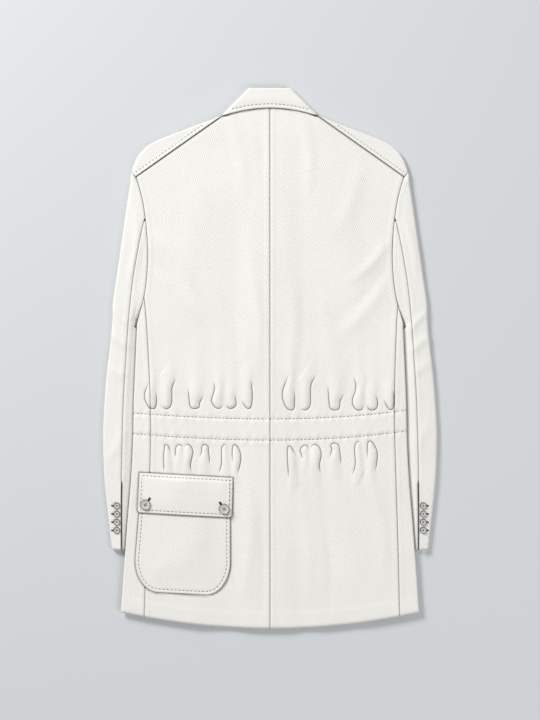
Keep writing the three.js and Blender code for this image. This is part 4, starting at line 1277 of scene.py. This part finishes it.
# A turned button: a rounded rim round a dished middle, with four holes and crossed thread
def buttonMesh(name, radius, thick, ring):
    rim = 0.24 * radius
    # Rows of (in from the edge, height), from the underside round the rim to the dish
    profile = [(0.5, 0), (0.12, 0.3), (0, 0.45 * thick), (0.15, 0.8 * thick), (0.45, 0.95 * thick),
               (0.5 * rim, thick), (0.85 * rim, 0.93 * thick), (1.1 * rim, 0.72 * thick),
               (1.5 * rim, 0.62 * thick)]
    segments = 40
    angles = [2 * math.pi * k / segments for k in range(segments)]
    points, faces = [], []
    for inward, z in profile:
        r = radius - inward
        points.extend((r * math.cos(angle), r * math.sin(angle), z) for angle in angles)
    rings = len(profile)
    for i in range(rings - 1):
        for k in range(segments):
            a, b = i * segments + k, i * segments + (k + 1) % segments
            faces.append((a, b, b + segments, a + segments))
    faces.append(tuple(reversed(range(segments))))
    faces.append(tuple(range((rings - 1) * segments, rings * segments)))
    mesh = bpy.data.meshes.new(name)
    mesh.from_pydata((np.array(points) * mm).tolist(), [], faces)
    body = addObject(name, mesh)
    bpy.ops.object.select_all(action="DESELECT")
    spread, holeRadius = 0.24 * radius, 0.115 * radius
    drills = []
    for k in range(4):
        angle = math.pi / 4 + k * math.pi / 2
        place = (spread * math.cos(angle) * mm, spread * math.sin(angle) * mm, 0.5 * thick * mm)
        bpy.ops.mesh.primitive_cylinder_add(
            vertices=14, radius=holeRadius * mm, depth=3 * thick * mm, location=place
        )
        drills.append(bpy.context.active_object)
        cut = body.modifiers.new(f"hole{k}", "BOOLEAN")
        cut.operation = "DIFFERENCE"
        cut.object = drills[-1]
    evaluated = body.evaluated_get(bpy.context.evaluated_depsgraph_get())
    result = bpy.data.meshes.new_from_object(evaluated)
    for drillObject in drills:
        bpy.data.objects.remove(drillObject)
    bpy.data.objects.remove(body)
    result.materials.clear()
    result.materials.append(buttonNut)
    places = np.empty(len(result.vertices) * 3)
    result.vertices.foreach_get("co", places)
    places = places.reshape(-1, 3) / mm
    away = np.hypot(places[:, 0], places[:, 1]) / radius
    pointAttribute(result, "rimShade", np.clip((away - 1 + ring) / 0.08, 0, 1))
    return result, spread


def placeMesh(name, mesh, x, down, z, turn=0.0, faceDown=0.0):
    points = np.empty(len(mesh.vertices) * 3)
    mesh.vertices.foreach_get("co", points)
    points = points.reshape(-1, 3)
    if faceDown:
        points = points * [1, -1, -1] + [0, 0, faceDown * mm]
    c, s = math.cos(turn), math.sin(turn)
    points = points @ np.array([[c, s, 0], [-s, c, 0], [0, 0, 1]])
    points = points + np.array([x, jacket["length"] / 2 - down, z]) * mm
    mesh.vertices.foreach_set("co", points.ravel())
    return addObject(name, mesh)


buttonMasters = {}


# Places one button and gives the lines of its thread
def sewButton(node, sizes, x, down, z, turn=0.0, faceDown=False):
    key = (sizes["radius"], sizes["thick"], sizes["ring"])
    if key not in buttonMasters:
        buttonMasters[key] = buttonMesh(f"button_{int(2 * sizes['radius'])}", *key)
    master, spread = buttonMasters[key]
    button = placeMesh(f"{node}_turned", master.copy(), x, down, z, turn, faceDown * sizes["thick"])
    for polygon in button.data.polygons:
        polygon.use_smooth = len(polygon.vertices) == 4
    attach(button, "root")
    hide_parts(node)
    # Two crossed passes of thread between opposite holes
    lines = []
    top = z + (0.34 if faceDown else 0.66) * sizes["thick"]
    for k in range(2):
        angle = turn + math.pi / 4 + k * math.pi / 2
        ends = np.array([-spread, spread])
        lines.append(toPoints(x + ends * math.cos(angle), down - ends * math.sin(angle), top))
    return lines


# A worked buttonhole: close stitches that stand across its slit
def buttonhole(x, down, angle, length, wide, height):
    lines = []
    ux, ud = math.cos(angle), -math.sin(angle)
    count = int(length / stitchesApart)
    for k in range(count + 1):
        t = (k / count - 0.5) * length
        reach = wide if 0 < k < count else 1.1 * wide
        ends = np.array([-reach, reach])
        px, pd = x + t * ux + ends * ud, down + t * ud - ends * ux
        lines.append(toPoints(px, pd, height(px, pd) + 0.5))
    return lines


def onFlap(x, down):
    return flapHeight(*fromPocket(x, down))


holeLines, threadLines = [], []
for hand, side in (("outer", -1), ("inner", 1)):
    x, down = onPocket(side * flapButton["out"], flapButton["down"])
    z = float(onFlap(x, down)) + flapButton["above"]
    threadLines += sewButton(f"flap_button_{hand}", flapButton, x, down, z, flapButton["turn"])
    tick, out = math.radians(flapButton[hand]["tick"]), flapButton[hand]["far"] - flapButton["hole"] / 2
    holeLines += buttonhole(x + out * math.cos(tick), down - out * math.sin(tick), tick, flapButton["hole"],
                            flapButton["holeWide"], onFlap)
for hand, side in (("left", -1), ("right", 1)):
    for k in range(cuffButton["count"]):
        x, down = side * cuffButton["half"], cuffButton["down"] + k * cuffButton["pitch"]
        z = float(sleeveHeight(x, down)) + cuffButton["above"]
        turn = cuffButton["turn"] * k
        threadLines += sewButton(f"cuff_button_{hand}_{k + 1}", cuffButton, x, down, z, turn)
        holeLines += buttonhole(x + side * cuffButton["holeOut"], down, 0.0, cuffButton["hole"],
                                cuffButton["holeWide"], sleeveHeight)
for k in range(frontButton["count"]):
    down = frontButton["down"] + k * frontButton["pitch"]
    threadLines += sewButton(f"front_button_{k + 1}", frontButton, 0, down, 0, faceDown=True)
stitching("buttonhole_stitches", holeLines, satinStitch, holeTree)
stitching("button_threads", threadLines, buttonThread)
for master, _ in buttonMasters.values():
    bpy.data.meshes.remove(master)
print("sewing made")

# The surface it lies on, so large that its far edge stays out of a low view, and the light, in metres
studio = {"reach": 30, "below": 0.0002, "key": (-2.4, 2.5, 2.1), "keySize": 1.2, "keyPower": 142,
          "fill": (2.4, -1.6, 2.6), "fillSize": 2.4, "fillPower": 52, "air": (0.95, 0.97, 1.0, 1),
          "airStrength": 0.36}
floorMesh = bpy.data.meshes.new("studioFloor")
corners = ((-1, -1), (1, -1), (1, 1), (-1, 1))
floorCorners = [(x * studio["reach"], y * studio["reach"], 0) for x, y in corners]
floorMesh.from_pydata(floorCorners, [], [(0, 1, 2, 3)])
floorMesh.materials.append(palePaper("palePaper"))
studioFloor = addObject("studioFloor", floorMesh)
studioFloor.location = (0, 0, -studio["below"])


def softbox(name, place, size, power):
    data = bpy.data.lights.new(name, "AREA")
    data.shape = "SQUARE"
    data.size = size
    data.energy = power
    light = addObject(name, data)
    light.location = place
    light.rotation_euler = (-Vector(place)).to_track_quat("-Z", "Y").to_euler()


softbox("keySoftbox", studio["key"], studio["keySize"], studio["keyPower"])
softbox("fillSoftbox", studio["fill"], studio["fillSize"], studio["fillPower"])
world = bpy.data.worlds.new("paleStudio")
world.use_nodes = True
air = world.node_tree.nodes["Background"].inputs
air["Color"].default_value = studio["air"]
air["Strength"].default_value = studio["airStrength"]
scene.world = world
scene.view_settings.view_transform = "Standard"

print("scene made")
